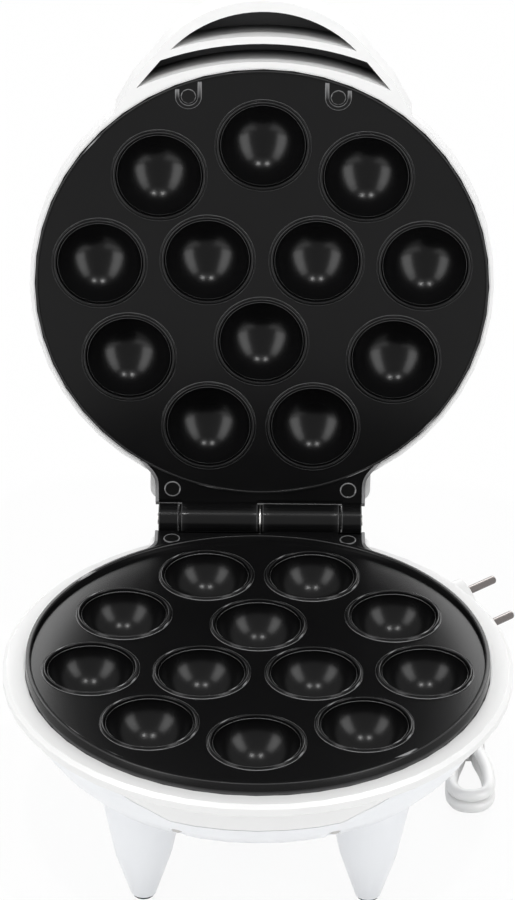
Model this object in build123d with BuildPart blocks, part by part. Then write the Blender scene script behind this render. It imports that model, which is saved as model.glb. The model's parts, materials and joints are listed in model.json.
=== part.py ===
"""Takoyaki maker: two twelve-cup cast plates in a white housing, hinged at the back and standing open.

Millimetres, +Z up, hinge at +Y, handle towards -Y. Everything is drawn about the upright axis of
the cooking plates with the lid shut. At the end the lid's pieces are swung open about the hinge,
and all pieces are moved so that the origin lies on the table under the middle of the appliance.
"""

import os
from math import atan2, cos, degrees, pi, radians, sin, tan

from build123d import *

# Driving dimensions
plate_height = 90.0  # cooking face of the base plate above the table
plate_radius = 102.0
plate_web = 2.6
plate_skirt = 6.0  # rim wall below the cooking face
base_lip = (2.6, 2.3)  # width and height of the raised rim
lid_lip = (1.4, 0.9)
plate_gap = 4.0  # between the two cooking faces with the lid shut
opening_angle = 97.0

cup_radius = 19.6
cup_wall = 2.2
bead_height = 1.1
bead_width = 1.3
cup_foot_radius = 12.5  # flat underside of a cup, which the heater touches
ring_sides = 48  # plates and housings
cup_sides = 18
screw_sides = 8
round_sides = 12  # small turned and moulded pieces
bowl_steps = (0, 27, 53, 78)  # degrees below the mouth at which the bowl's facets meet
outer_cups = [(66.7, 0.0), (69.7, 41.5), (73.7, 82.1), (69.5, 120.5), (72.6, 160.9)]  # radius, bearing
inner_cups = [(27.3, 63.8), (27.1, 180.0)]

hinge_stand = 12.4  # hinge axis behind the plates' rim
barrel_radius = 7.2
pin_radius = 2.5
running_clearance = 0.05
bracket_half = 48.0
bracket_web = 4.0
bracket_flare = (55.5, 17.0)  # half width where the sides leave the plate, and how far inside its rim
block_round = 6.0
long_knuckle = (1.1, 36.1)  # near and far end from the middle
short_knuckle = (37.3, 46.5)
knuckle_relief = 0.7
hinge_screw_place = (40.2, 14.2)  # across, and in front of the hinge axis

wall = 2.4  # moulded housings
fit_gap = 0.3
seam_gap = 0.4
flange_width = 10.1  # beyond the plate's rim
flange_drop = (3.4, 2.2)  # top of the flange below the cooking face, at the plate and at the edge
flange_depth = 8.8  # underside of the flange below the cooking face
flange_bevel = 1.7
neck_width = 4.2  # the bowl's wall under the flange, beyond the plate's rim
pan_edge = (91.0, 54.6)  # radius and height where the bowl turns into the bottom
pan_floor = (62.0, 46.0)
bowl_middle = (100.4, 66.5)  # a point that the bowl's wall passes
seam_height = 67.5
shoulder_height = 79.0  # the seam arches up to here over each leg
shoulder_radius = 70.0
ledge_width = 5.0  # of the ledge that the plate's rim stands on
ledge_depth = 2.4
block_setback = 4.4  # rear face of the hinge block in front of the hinge axis
block_foot = 70.0

leg_spread = 49.1
front_leg_reach = -51.7
rear_leg_reach = 76.0
leg_radius = 17.4
leg_sides = 16
leg_crown = (9.0, 74.0)  # radius and height where the leg runs into the bowl
leg_root = 48.0  # height where the leg reaches its full radius
leg_middle = (12.6, 23.4)  # radius and height that the leg's side passes
leg_tip = (5.6, 1.5)
foot_radius = 4.8
foot_height = 4.0

heater_radius = 68.0
heater_tube = 3.2
heater_arc = 300.0
terminal_length = 7.0
thermostat_radius = 8.0
fuse_size = (2.0, 11.0)  # radius and length
terminal_block = (22.0, 13.0, 9.0)
terminal_block_place = (-24.0, 40.0)
shield_radius = 79.0
shield_sheet = 0.8
shield_rim = 5.0
shield_sides = 36
stud_radius = 3.6
stud_places = [(0.0, -34.0), (44.0, 9.0), (-44.0, 9.0)]
screw_radius = 1.5
screw_head = (3.2, 1.6)  # radius and height
shield_screw = 9.0
bracket_screw = 12.0
pan_screw = 14.0
pan_screws_at = [(93.0, 20.8), (93.0, 101.3)]
post_radius = 5.0
post_recess = 6.0  # depth of the screw's seat above the pan's outside

rim_width = 2.5  # of the lid's rim beyond the plate's
lid_side = 9.0  # upright part of the lid's wall above the rim
lid_shoulder = (75.0, 33.5)  # radius and height above the rim
lid_shoulder_mid = (96.5, 25.5)
lid_top = 38.5
cover_height = 18.0  # block over the lid's hinge bracket
cover_setback = 7.0  # its rear face in front of the hinge axis

handle_nose = 134.2
handle_turn = (47.5, -109.0)
handle_flare = (57.9, -96.6)
handle_root = (66.0, -82.0)
handle_height = 22.0
handle_round = 7.0
pocket_depth = 17.0
liner_sheet = 1.6
outer_pocket = [(41.0, -111.0), 128.8, 117.4]  # corner, outer and inner middle
inner_pocket = [(45.6, -105.9), (56.3, -92.9), 114.0, 105.6]  # corners, outer and inner middle

pad_place = (33.2, -89.5)
pad_radius = 6.1
pad_depth = 1.0
pad_boss = 4.2
lamp_place = (13.0, -70.0)
lamp_radius = 4.0

gland_root = (84.0, 58.5)  # reach behind the middle and height
gland_tilt = 45.0  # how far the cord's way out points down
gland_bore = 4.9
gland_land = (9.5, 11.0)  # radius of the seat on the pan, and its distance from the root
gland_flange = (7.6, 2.0)
boot_length = 24.0

cord_diameter = 5.6
hank_pitch = 6.2
hank_middle = 96.1
hank_half = 8.5  # half width of the loops
hank_ends = (20.8, 96.0)  # where the near and far turns have their middles
hank_loops = 2
waist_half = 3.4
waist = (50.0, 62.0)
waist_run = 16.0  # length over which the loops are drawn in
tie_width = 4.0
tie_sheet = 0.8
tie_gap = 0.2
tie_slack = 1.2  # room over the loops for the end that leaves them

plug_front = (101.5, 161.6, 14.6)  # middle of the face that the pins stand on
plug_bearing = 40.4  # the pins' direction, from +X towards +Y
plug_roll = 45.0
plug_width = 33.0
plug_thickness = 12.6
plug_length = 28.0
plug_neck = 13.0
plug_boot = 10.0
pin_spread = 18.8
contact_pin = (2.0, 19.0)  # radius and length

# Radii and reaches that follow
hinge_reach = plate_radius + hinge_stand
block_reach = hinge_reach - block_setback
cover_reach = hinge_reach - cover_setback
flange_radius = plate_radius + flange_width
neck_radius = plate_radius + neck_width
rim_radius = plate_radius + rim_width
seat_radius = plate_radius + fit_gap
ledge_radius = plate_radius - ledge_width
bracket_screw_at = (hinge_screw_place[0], hinge_reach - hinge_screw_place[1])

# Heights that follow
lid_face = plate_height + plate_gap
hinge_height = plate_height + plate_gap / 2
cup_drop = cup_radius + cup_wall - bead_height  # underside of a cup below the cooking face
heater_drop = cup_drop + heater_tube
shield_drop = heater_drop + heater_tube


def bearing_point(radius, bearing):
    """A point at a radius and a bearing counted from the front, -Y, towards +X."""
    return radius * sin(radians(bearing)), -radius * cos(radians(bearing))


def mirrored(place):
    """A place and its mirror image in X."""
    return [place, (-place[0], place[1])]


def both_sides(places):
    """The places and their mirror images in X, with a place on the middle line once."""
    points = [bearing_point(*place) for place in places]
    images = [(-x, y) for x, y in points if abs(x) > 0.01]
    return points + images


def arc_points(first, through, last, steps):
    """Points in even steps along the arc through three points of a profile."""
    arc = Edge.make_three_point_arc(Vector(*first), Vector(*through), Vector(*last))
    points = [arc @ (i / steps) for i in range(steps + 1)]
    return [(point.X, point.Y) for point in points]


def faceted_cone(wide, narrow, height, sides=cup_sides):
    """An upright many-sided cone with its wide end down on z = 0."""
    slant = (wide - narrow) * cos(pi / sides)
    with BuildPart() as cone:
        with BuildSketch():
            RegularPolygon(wide, sides)
        extrude(amount=height, taper=degrees(atan2(slant, height)))
    return cone.part


def turned(outline):
    """A many-sided solid of revolution from the radii and heights of its outline, from the bottom up."""
    with BuildPart() as solid:
        for (low_radius, low), (high_radius, high) in zip(outline, outline[1:]):
            if low == high:
                continue
            if low_radius >= high_radius:
                with Locations((0, 0, low)):
                    add(faceted_cone(low_radius, high_radius, high - low, ring_sides))
            else:
                with Locations(Location((0, 0, high), (180, 0, 0))):
                    add(faceted_cone(high_radius, low_radius, high - low, ring_sides))
    return solid.part


cup_places = both_sides(outer_cups + inner_cups)
web_middle = -plate_web / 2
bead_rise = bead_height - web_middle

# One cup about its own middle, rooted in the plate: what stands round the bowl, and the bowl itself
with BuildPart() as cup_outside:
    with Locations((0, 0, web_middle)):
        add(faceted_cone(cup_radius + bead_width + bead_rise / 3, cup_radius + bead_width, bead_rise))
    with Locations(Location((0, 0, web_middle), (180, 0, 0))):
        add(faceted_cone(cup_radius + cup_wall, cup_foot_radius, cup_drop + web_middle))

with BuildPart() as cup_hollow:
    with BuildSketch(Plane.XY.offset(bead_height)):
        RegularPolygon(cup_radius, cup_sides)
    extrude(amount=bead_height)
    for above, below in zip(bowl_steps, bowl_steps[1:]):
        wide, narrow = [cup_radius * cos(radians(step)) for step in (above, below)]
        start, end = [cup_radius * sin(radians(step)) for step in (above, below)]
        with Locations(Location((0, 0, bead_height - start), (180, 0, 0))):
            add(faceted_cone(wide, narrow, end - start))


def bracket_sides(gap, end_reach):
    """Corners of the hinge bracket's outline, which flares where it leaves the plate's rim."""
    flare = bracket_flare[0]
    flare_reach = plate_radius - bracket_flare[1]
    neck_reach = flare_reach + 1.3 * (flare - bracket_half)
    half = [
        (flare + gap, flare_reach),
        (bracket_half + gap, neck_reach + gap),
        (bracket_half + gap, end_reach),
    ]
    return half + [(-x, y) for x, y in reversed(half)]


def cast_plate(lip, bore_radius):
    """A cooking plate about the origin with its face up at z = 0 and its hinge knuckles at +Y."""
    lip_width, lip_height = lip
    axis_height = plate_gap / 2
    relief_reach = hinge_reach - barrel_radius - knuckle_relief
    inside = plate_radius - lip_width
    with BuildPart() as casting:
        with BuildSketch(Plane.XY.offset(-plate_skirt)):
            RegularPolygon(plate_radius, ring_sides)
            RegularPolygon(inside, ring_sides, mode=Mode.SUBTRACT)
        extrude(amount=plate_skirt + lip_height)
        with BuildSketch():
            RegularPolygon(inside + lip_width / 2, ring_sides)
        extrude(amount=-plate_web)
        with BuildSketch():
            with BuildLine():
                sides = bracket_sides(0, relief_reach)
                Polyline(*sides)
                ThreePointArc(sides[-1], (0, inside + lip_width / 2), sides[0])
            make_face()
        extrude(amount=-bracket_web)
        near, far = long_knuckle
        close, end = short_knuckle
        for low, high in ((near, far), (-end, -close)):
            with Locations(Location(((low + high) / 2, hinge_reach, axis_height), (0, 90, 0))):
                Cylinder(barrel_radius, high - low)
            with Locations(((low + high) / 2, hinge_reach, -bracket_web)):
                Box(
                    high - low,
                    barrel_radius + knuckle_relief + 1,
                    bracket_web,
                    align=(Align.CENTER, Align.MAX, Align.MIN),
                )
        with Locations(Location((0, hinge_reach, axis_height), (0, 90, 0))):
            Cylinder(bore_radius, 2 * bracket_half + 10, mode=Mode.SUBTRACT)
        with Locations(*[(x, y, 0) for x, y in mirrored(bracket_screw_at)]):
            Hole(screw_radius + fit_gap)
            CounterSinkHole(screw_radius + fit_gap, screw_head[0])
        with BuildSketch(Plane.XY.offset(-shield_drop)):
            with Locations(*stud_places):
                RegularPolygon(stud_radius, screw_sides)
        extrude(amount=shield_drop + web_middle)
        with BuildSketch(Plane.XY.offset(-shield_drop)):
            with Locations(*stud_places):
                RegularPolygon(screw_radius, screw_sides)
        extrude(amount=shield_screw, mode=Mode.SUBTRACT)
        with Locations(*cup_places):
            add(cup_outside.part)
        with Locations(*cup_places):
            add(cup_hollow.part, mode=Mode.SUBTRACT)
    return casting.part


with BuildPart() as base_plate:
    with Locations((0, 0, plate_height)):
        add(cast_plate(base_lip, pin_radius))

with BuildPart() as lid_plate:
    with Locations(Location((0, 0, lid_face), (0, 180, 0))):
        add(cast_plate(lid_lip, pin_radius + running_clearance))
    pad_across, pad_front = pad_place
    with BuildSketch(Plane.XY.offset(lid_face - lid_lip[1])):
        with Locations((pad_across, pad_front), (-pad_across, pad_front)):
            Circle(pad_radius)
            Rectangle(2 * pad_radius, plate_radius, align=(Align.CENTER, Align.MAX))
    extrude(amount=lid_lip[1] + pad_depth, mode=Mode.SUBTRACT)
    with Locations((pad_across, pad_front, lid_face), (-pad_across, pad_front, lid_face)):
        Cylinder(screw_radius + fit_gap, 4 * plate_web, mode=Mode.SUBTRACT)

with BuildPart() as hinge_pin:
    with Locations(Location((0, hinge_reach, hinge_height), (0, 90, 0))):
        Cylinder(pin_radius, 2 * short_knuckle[1] + 1)
    chamfer(hinge_pin.edges().filter_by(GeomType.CIRCLE), 0.5)


def heater(height, down):
    """A tubular heater: a ring open at the back that lies against the cups, with two terminal pins."""
    half_gap = (360 - heater_arc) / 2
    start = Vector(*bearing_point(1, 180 + half_gap))
    with BuildPart() as ring:
        with BuildSketch(Plane(origin=(0, 0, height), x_dir=start, z_dir=start.cross(Vector(0, 0, 1)))):
            with Locations((heater_radius, 0)):
                RegularPolygon(heater_tube, 6, major_radius=False)
        revolve(axis=Axis.Z, revolution_arc=heater_arc)
        with BuildSketch(Plane.XY.offset(height)):
            with Locations(*heater_ends()):
                RegularPolygon(heater_tube * 0.6, 6)
        extrude(amount=-down * terminal_length)
    return ring.part


def heater_ends():
    """The places of a heater's two terminal pins."""
    turned = 180 - (360 - heater_arc) / 2 - 4
    return [bearing_point(heater_radius, side * turned) for side in (-1, 1)]


def heat_shield(height, down):
    """A sheet-steel disc behind the heater, with its rim turned towards the plate."""
    with BuildPart() as disc:
        with BuildSketch(Plane.XY.offset(height)):
            RegularPolygon(shield_radius, shield_sides)
            with Locations(*stud_places):
                RegularPolygon(screw_radius + fit_gap, screw_sides, mode=Mode.SUBTRACT)
            with Locations(*heater_ends()):
                RegularPolygon(heater_tube, screw_sides, mode=Mode.SUBTRACT)
        extrude(amount=-down * shield_sheet)
        with BuildSketch(Plane.XY.offset(height)):
            RegularPolygon(shield_radius, shield_sides)
            RegularPolygon(shield_radius - shield_sheet, shield_sides, mode=Mode.SUBTRACT)
        extrude(amount=down * shield_rim)
    return disc.part


def screws(places, seat, length, up):
    """Pan-head screws whose heads sit against a height, with their shanks pointing up or down."""
    head_radius, head_height = screw_head
    with BuildPart() as group:
        with BuildSketch(Plane.XY.offset(seat)):
            with Locations(*places):
                RegularPolygon(screw_radius, screw_sides)
        extrude(amount=up * length)
        with BuildSketch(Plane.XY.offset(seat)):
            with Locations(*places):
                RegularPolygon(head_radius, screw_sides)
        extrude(amount=-up * head_height)
    return group.part


def flush_screws(places, face, length, up):
    """Countersunk screws whose heads lie level with a face, with their shanks pointing up or down."""
    head_radius = screw_head[0]
    with BuildPart() as group:
        with Locations(*[Location((x, y, face), (0, 90 - 90 * up, 0)) for x, y in places]):
            add(faceted_cone(head_radius, screw_radius, head_radius - screw_radius, screw_sides))
            add(faceted_cone(screw_radius, screw_radius, length, screw_sides))
    return group.part


bracket_screws_at = mirrored(bracket_screw_at)
pad_screws_at = mirrored(pad_place)
posts_at = both_sides(pan_screws_at)

with BuildPart() as base_heater:
    add(heater(plate_height - heater_drop, 1))

with BuildPart() as base_heat_shield:
    add(heat_shield(plate_height - shield_drop, 1))

with BuildPart() as base_shield_screws:
    add(screws(stud_places, plate_height - shield_drop - shield_sheet, shield_screw, 1))

# The thermostat's disc and the thermal fuse sit against the feet of two inner cups
inner_back = bearing_point(*inner_cups[1])
inner_right = bearing_point(*inner_cups[0])
under_cups = plate_height - cup_drop
fuse_radius, fuse_length = fuse_size

with BuildPart() as thermostat:
    with BuildSketch(Plane.XY.offset(under_cups)):
        with Locations(inner_back):
            RegularPolygon(thermostat_radius, round_sides)
    extrude(amount=-heater_tube)
    with Locations((*inner_back, under_cups - heater_tube)):
        Box(fuse_length, fuse_radius * 2, heater_tube - 1, align=(Align.CENTER, Align.CENTER, Align.MAX))

with BuildPart() as thermal_fuse:
    fuse_end = (inner_right[0] - fuse_length / 2, inner_right[1], under_cups - fuse_radius)
    with BuildSketch(Plane(origin=fuse_end, x_dir=(0, 1, 0), z_dir=(1, 0, 0))):
        RegularPolygon(fuse_radius, screw_sides, rotation=180 / screw_sides, major_radius=False)
    extrude(amount=fuse_length)

# The bowl that both housings share, as solids inside and outside its wall
floor_radius, floor_height = pan_floor
edge_radius, edge_height = pan_edge
flange_under = plate_height - flange_depth
ledge_top = plate_height - plate_skirt

with BuildPart() as bowl_outside:
    side = arc_points(pan_edge, bowl_middle, (neck_radius, flange_under), 4)
    add(turned([pan_floor, *side]))

with BuildPart() as bowl_inside:
    hollow = [
        (floor_radius, floor_height + wall),
        (edge_radius - wall * 0.75, edge_height + wall * 0.75),
        (bowl_middle[0] - wall, bowl_middle[1]),
        (neck_radius - wall, flange_under - wall),
        (ledge_radius, ledge_top - ledge_depth),
        (ledge_radius, ledge_top),
        (seat_radius, ledge_top),
        (seat_radius, plate_height + plate_skirt),
    ]
    add(turned(hollow))
    # The screw posts stay standing in the cavity
    with BuildSketch():
        with Locations(*posts_at):
            RegularPolygon(post_radius, screw_sides)
    extrude(amount=ledge_top, mode=Mode.SUBTRACT)

leg_places = [(side * leg_spread, reach) for reach in (front_leg_reach, rear_leg_reach) for side in (-1, 1)]

# Everything that belongs to the lower pan: below the seam, which arches up over each leg
with BuildPart() as pan_zone:
    Cylinder(2 * neck_radius, seam_height, align=(Align.CENTER, Align.CENTER, Align.MIN))
    for x, y in leg_places:
        with BuildSketch(Plane(origin=(0, 0, shoulder_height - shoulder_radius), z_dir=(x, y, 0))):
            Circle(shoulder_radius)
        extrude(amount=1.3 * neck_radius)
    with Locations((0, 0, 0)):
        Box(
            4 * neck_radius,
            4 * neck_radius,
            2 * shoulder_radius,
            align=(Align.CENTER, Align.CENTER, Align.MAX),
            mode=Mode.SUBTRACT,
        )

# The open joint between the housings, seen as a groove; the screw posts meet inside it
with BuildPart() as seam_cut:
    add(pan_zone.part.moved(Location((0, 0, seam_gap))))
    Cylinder(ledge_radius, 4 * plate_height, mode=Mode.SUBTRACT)
    add(pan_zone.part)

barrel_room = barrel_radius + knuckle_relief
notch_half = bracket_half + fit_gap

with BuildPart() as base_housing:
    add(bowl_outside.part)
    top_inner = plate_height - flange_drop[0]
    top_outer = plate_height - flange_drop[1]
    flange = [
        (flange_radius - flange_bevel, flange_under),
        (flange_radius, flange_under + flange_bevel),
        (flange_radius, top_outer - flange_bevel),
        (flange_radius - flange_bevel, top_outer),
    ]
    add(turned(flange))
    add(turned([(seat_radius, top_inner), flange[-1]]), mode=Mode.SUBTRACT)
    # The block that carries the hinge bracket
    with BuildSketch(Plane.XY.offset(block_foot)) as block:
        with Locations((0, block_reach)):
            Rectangle(2 * bracket_half + 2 * wall, block_reach - shield_radius, align=(Align.CENTER, Align.MAX))
        fillet(block.vertices().group_by(Axis.Y)[-1], block_round)
    extrude(amount=plate_height - bracket_web - block_foot)
    add(seam_cut.part, mode=Mode.SUBTRACT)
    add(bowl_inside.part, mode=Mode.SUBTRACT)
    with BuildSketch(Plane.XY.offset(plate_height - bracket_web)):
        with BuildLine():
            Polyline(*bracket_sides(fit_gap, flange_radius + wall), close=True)
        make_face()
    extrude(amount=2 * bracket_web, mode=Mode.SUBTRACT)
    with Locations(Location((0, hinge_reach, hinge_height), (0, 90, 0))):
        Cylinder(barrel_room, 2 * notch_half, mode=Mode.SUBTRACT)
    with Locations(*[(x, y, plate_height) for x, y in bracket_screws_at]):
        Cylinder(screw_radius, 2 * (bracket_screw + 1), mode=Mode.SUBTRACT)
    with Locations(*[(x, y, edge_height) for x, y in posts_at]):
        Cylinder(
            screw_radius,
            ledge_top - ledge_depth - edge_height - 1,
            align=(Align.CENTER, Align.CENTER, Align.MIN),
            mode=Mode.SUBTRACT,
        )

# A leg about its own axis: its crown upright, then two lengths that narrow downwards
middle_radius, middle_height = leg_middle
tip_radius, tip_height = leg_tip
crown_narrow, crown_height = leg_crown

with BuildPart() as leg:
    with Locations((0, 0, leg_root)):
        add(faceted_cone(leg_radius, crown_narrow, crown_height - leg_root, leg_sides))
    with Locations(Location((0, 0, leg_root), (180, 0, 0))):
        add(faceted_cone(leg_radius, middle_radius, leg_root - middle_height, leg_sides))
    with Locations(Location((0, 0, middle_height), (180, 0, 0))):
        add(faceted_cone(middle_radius, tip_radius, middle_height - tip_height, leg_sides))

screw_seat = edge_height + post_recess
root_reach, root_height = gland_root
out = Vector(0, cos(radians(gland_tilt)), -sin(radians(gland_tilt)))
gland_start = Vector(0, root_reach, root_height)
land_radius, land_reach = gland_land

with BuildPart() as base_pan:
    add(bowl_outside.part)
    with Locations(*leg_places):
        add(leg.part)
    with BuildSketch(Plane(origin=gland_start, z_dir=out)):
        Circle(land_radius)
    extrude(amount=land_reach)
    add(pan_zone.part, mode=Mode.INTERSECT)
    add(bowl_inside.part, mode=Mode.SUBTRACT)
    with BuildSketch():
        with Locations(*leg_places):
            RegularPolygon(foot_radius, round_sides)
    extrude(amount=foot_height, mode=Mode.SUBTRACT)
    with Locations(*posts_at):
        Cylinder(
            screw_head[0] + fit_gap,
            screw_seat,
            align=(Align.CENTER, Align.CENTER, Align.MIN),
            mode=Mode.SUBTRACT,
        )
        Cylinder(screw_radius, 2 * ledge_top, mode=Mode.SUBTRACT)
    with BuildSketch(Plane(origin=gland_start, z_dir=out)):
        Circle(gland_bore)
    extrude(amount=2 * land_reach, both=True, mode=Mode.SUBTRACT)

with BuildPart() as rubber_feet:
    with BuildSketch():
        with Locations(*leg_places):
            RegularPolygon(foot_radius, round_sides)
    extrude(amount=foot_height)

with BuildPart() as pan_screws:
    add(screws(posts_at, screw_seat, pan_screw, 1))

with BuildPart() as base_hinge_screws:
    add(flush_screws(bracket_screws_at, plate_height, bracket_screw, -1))

with BuildPart() as terminal_strip:
    with Locations((*terminal_block_place, floor_height + wall)):
        Box(*terminal_block, align=(Align.CENTER, Align.CENTER, Align.MIN))

# The lid, drawn shut
rim_foot = lid_face + fit_gap
dome_shoulder = (lid_shoulder[0], lid_face + lid_shoulder[1])
dome_middle = (lid_shoulder_mid[0], lid_face + lid_shoulder_mid[1])
dome_top = lid_face + lid_top
crown_radius = 0.4 * lid_shoulder[0]
cover_top = lid_face + cover_height

with BuildPart() as lid_inside:
    hollow = [
        (seat_radius, lid_face - 1),
        (seat_radius, rim_foot + lid_side),
        (dome_middle[0] - wall, dome_middle[1] - wall / 2),
        (dome_shoulder[0] - wall / 2, dome_shoulder[1] - wall),
        (crown_radius, dome_top - wall),
    ]
    add(turned(hollow))
    with Locations(*[(x, y, lid_face + plate_web) for x, y in pad_screws_at]):
        Cylinder(
            pad_boss,
            lid_top,
            align=(Align.CENTER, Align.CENTER, Align.MIN),
            mode=Mode.SUBTRACT,
        )


def mirror_x(point):
    """The mirror image of a point in X."""
    return -point[0], point[1]


def pocket_outline(corner, outer_middle, inner_middle, inner_corner):
    """Lines and arcs round a pocket of the handle, between two arcs through its corners."""
    ThreePointArc(corner, (0, -outer_middle), mirror_x(corner))
    ThreePointArc(inner_corner, (0, -inner_middle), mirror_x(inner_corner))
    if inner_corner != corner:
        Line(corner, inner_corner)
        Line(mirror_x(corner), mirror_x(inner_corner))


outer_corner, outer_front, outer_back = outer_pocket
inner_corner, inner_side, inner_front, inner_back_reach = inner_pocket

with BuildPart() as lid_shell:
    with BuildSketch(Plane.XY.offset(rim_foot)) as handle:
        with BuildLine():
            inside = (handle_turn[0], -lid_shoulder[0] / 2)
            Polyline(handle_turn, handle_flare, handle_root, inside, mirror_x(inside))
            Polyline(mirror_x(inside), mirror_x(handle_root), mirror_x(handle_flare), mirror_x(handle_turn))
            ThreePointArc(mirror_x(handle_turn), (0, -handle_nose), handle_turn)
        make_face()
        bends = handle.vertices().filter_by(lambda v: v.Y < handle_root[1] - 1)
        fillet(bends, 2 * handle_round)
    extrude(amount=handle_height)
    upper = lid_shell.edges().group_by(Axis.Z)[-1]
    fillet(upper.filter_by(lambda e: (e @ 0.5).Y < handle_root[1]), handle_round)
    shoulder = arc_points((rim_radius, rim_foot + lid_side), dome_middle, dome_shoulder, 4)
    add(turned([(rim_radius, rim_foot), *shoulder, (crown_radius, dome_top)]))
    with BuildSketch(Plane.XY.offset(lid_face + bracket_web)) as cover:
        with Locations((0, cover_reach)):
            Rectangle(2 * bracket_half + 2 * wall, cover_reach - shield_radius, align=(Align.CENTER, Align.MAX))
        fillet(cover.vertices().group_by(Axis.Y)[-1], block_round)
    extrude(amount=cover_height - bracket_web)
    add(lid_inside.part, mode=Mode.SUBTRACT)
    with BuildSketch(Plane.XY.offset(lid_face + bracket_web)):
        with BuildLine():
            Polyline(*bracket_sides(fit_gap, flange_radius + wall), close=True)
        make_face()
    extrude(amount=-2 * bracket_web, mode=Mode.SUBTRACT)
    # Two pockets that lighten the handle, and the room for the liner over them
    with BuildSketch(Plane.XY.offset(rim_foot)):
        with BuildLine():
            pocket_outline(outer_corner, outer_front, outer_back, outer_corner)
        make_face()
        with BuildLine():
            pocket_outline(inner_corner, inner_front, inner_back_reach, inner_side)
        make_face()
    extrude(amount=pocket_depth, mode=Mode.SUBTRACT)
    with BuildSketch(Plane.XY.offset(rim_foot + pocket_depth)) as liner_outline:
        with BuildLine():
            pocket_outline(outer_corner, outer_front, inner_back_reach, inner_side)
        make_face()
    extrude(amount=liner_sheet, mode=Mode.SUBTRACT)
    with Locations(*[(x, y, lid_face) for x, y in pad_screws_at + bracket_screws_at]):
        Cylinder(
            screw_radius,
            bracket_screw + 1,
            align=(Align.CENTER, Align.CENTER, Align.MIN),
            mode=Mode.SUBTRACT,
        )
    with Locations(*[(x, y, dome_top) for x, y in mirrored(lamp_place)]):
        Cylinder(lamp_radius, 4 * wall, mode=Mode.SUBTRACT)

with BuildPart() as handle_liner:
    add(liner_outline.sketch)
    extrude(amount=liner_sheet)

with BuildPart() as lid_heater:
    add(heater(lid_face + heater_drop, -1))

with BuildPart() as lid_heat_shield:
    add(heat_shield(lid_face + shield_drop, -1))

with BuildPart() as lid_shield_screws:
    flipped = [(-x, y) for x, y in stud_places]
    add(screws(flipped, lid_face + shield_drop + shield_sheet, shield_screw, -1))

with BuildPart() as lid_plate_screws:
    add(screws(pad_screws_at, lid_face + pad_depth, bracket_screw, 1))

with BuildPart() as lid_hinge_screws:
    add(flush_screws(bracket_screws_at, lid_face, bracket_screw, 1))

with BuildPart() as lamp_lenses:
    with BuildSketch(Plane.XY.offset(dome_top)):
        with Locations(*mirrored(lamp_place)):
            RegularPolygon(lamp_radius, round_sides)
    extrude(amount=-2 * wall)

# The cord's way out of the pan
land_face = gland_start + out * land_reach
boot_end = land_face + out * boot_length
flange_size, flange_sheet = gland_flange

with BuildPart() as cord_gland:
    with BuildSketch(Plane(origin=land_face, z_dir=out)):
        RegularPolygon(gland_bore, round_sides)
    extrude(amount=-0.8 * land_reach)
    with BuildSketch(Plane(origin=land_face, z_dir=out)):
        RegularPolygon(flange_size, round_sides)
    extrude(amount=flange_sheet)
    with Locations(Plane(origin=land_face, z_dir=out).location):
        add(faceted_cone(gland_bore, 0.75 * gland_bore, boot_length, round_sides))


def bend_radii(points):
    """For each corner of a route, the radius whose arc takes 0.45 of the shorter run beside it."""
    radii = []
    for before, corner, after in zip(points, points[1:], points[2:]):
        arriving = Vector(*corner) - Vector(*before)
        leaving = Vector(*after) - Vector(*corner)
        half_turn = radians(arriving.get_angle(leaving)) / 2
        radii.append(0.45 * min(arriving.length, leaving.length) / tan(half_turn))
    return radii


def cord_tube(name, points):
    """A length of cord along straight runs joined by arcs; its radii and length are printed."""
    radii = bend_radii(points)
    with BuildPart() as tube:
        with BuildLine() as route:
            FilletPolyline(*points, radius=radii)
        with BuildSketch(Plane(origin=route.line @ 0, z_dir=route.line % 0)):
            RegularPolygon(cord_diameter / 2, 6)
        sweep()
    line = route.wire()
    print(name, "length", round(line.length, 1), "bend radii", [round(r, 1) for r in radii])
    return tube.part, line


def least_gap(line):
    """The least distance between the surfaces of a cord's turns, measured on points of its middle line."""
    count = int(line.length / 1.5)
    points = [line @ (i / count) for i in range(count + 1)]
    apart = int(4 * cord_diameter / 1.5)
    pairs = [(a - b).length for i, a in enumerate(points) for b in points[i + apart :]]
    return min(pairs) - cord_diameter


# A hank: loops stacked on one another and drawn in at the waist, where the tie holds them
cord_height = cord_diameter / 2 + tie_sheet + tie_gap
near_turn, far_turn = hank_ends
waist_near, waist_far = waist
right, left = hank_middle + hank_half, hank_middle - hank_half
waist_right, waist_left = hank_middle + waist_half, hank_middle - waist_half
first_corner = (right, far_turn + 0.7 * hank_half, cord_height)
hank_start = (right - 14 * cos(radians(20)), first_corner[1] + 14 * sin(radians(20)), cord_height)
hank_points = [hank_start, first_corner]
for loop in range(hank_loops):
    low = cord_height + loop * hank_pitch
    high = low + hank_pitch
    hank_points += [
        (right, waist_far + waist_run, low),
        (waist_right, waist_far, low),
        (waist_right, waist_near, low),
        (right, waist_near - waist_run, low),
        (right, near_turn - hank_half, low),
        (left, near_turn - hank_half, low),
        (left, waist_near - waist_run, low),
        (waist_left, waist_near, low),
    ]
    if loop < hank_loops - 1:
        hank_points += [
            (waist_left, waist_far, low),
            (left, waist_far + waist_run, low + hank_pitch / 2),
            (left, far_turn + hank_half, high),
            (right, far_turn + hank_half, high),
        ]
lead_slope = 2.5 / 21
hank_end = (waist_left, waist_near + 9, low + 9 * lead_slope)
hank_points.append(hank_end)

plug_way = Vector(cos(radians(plug_bearing)), sin(radians(plug_bearing)), 0)
plug_face = Vector(*plug_front)
plug_end = plug_face - plug_way * (plug_length + plug_neck + plug_boot)


def behind_plug(distance):
    """A point behind the plug on its axis."""
    point = plug_end - plug_way * distance
    return point.X, point.Y, point.Z


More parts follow.
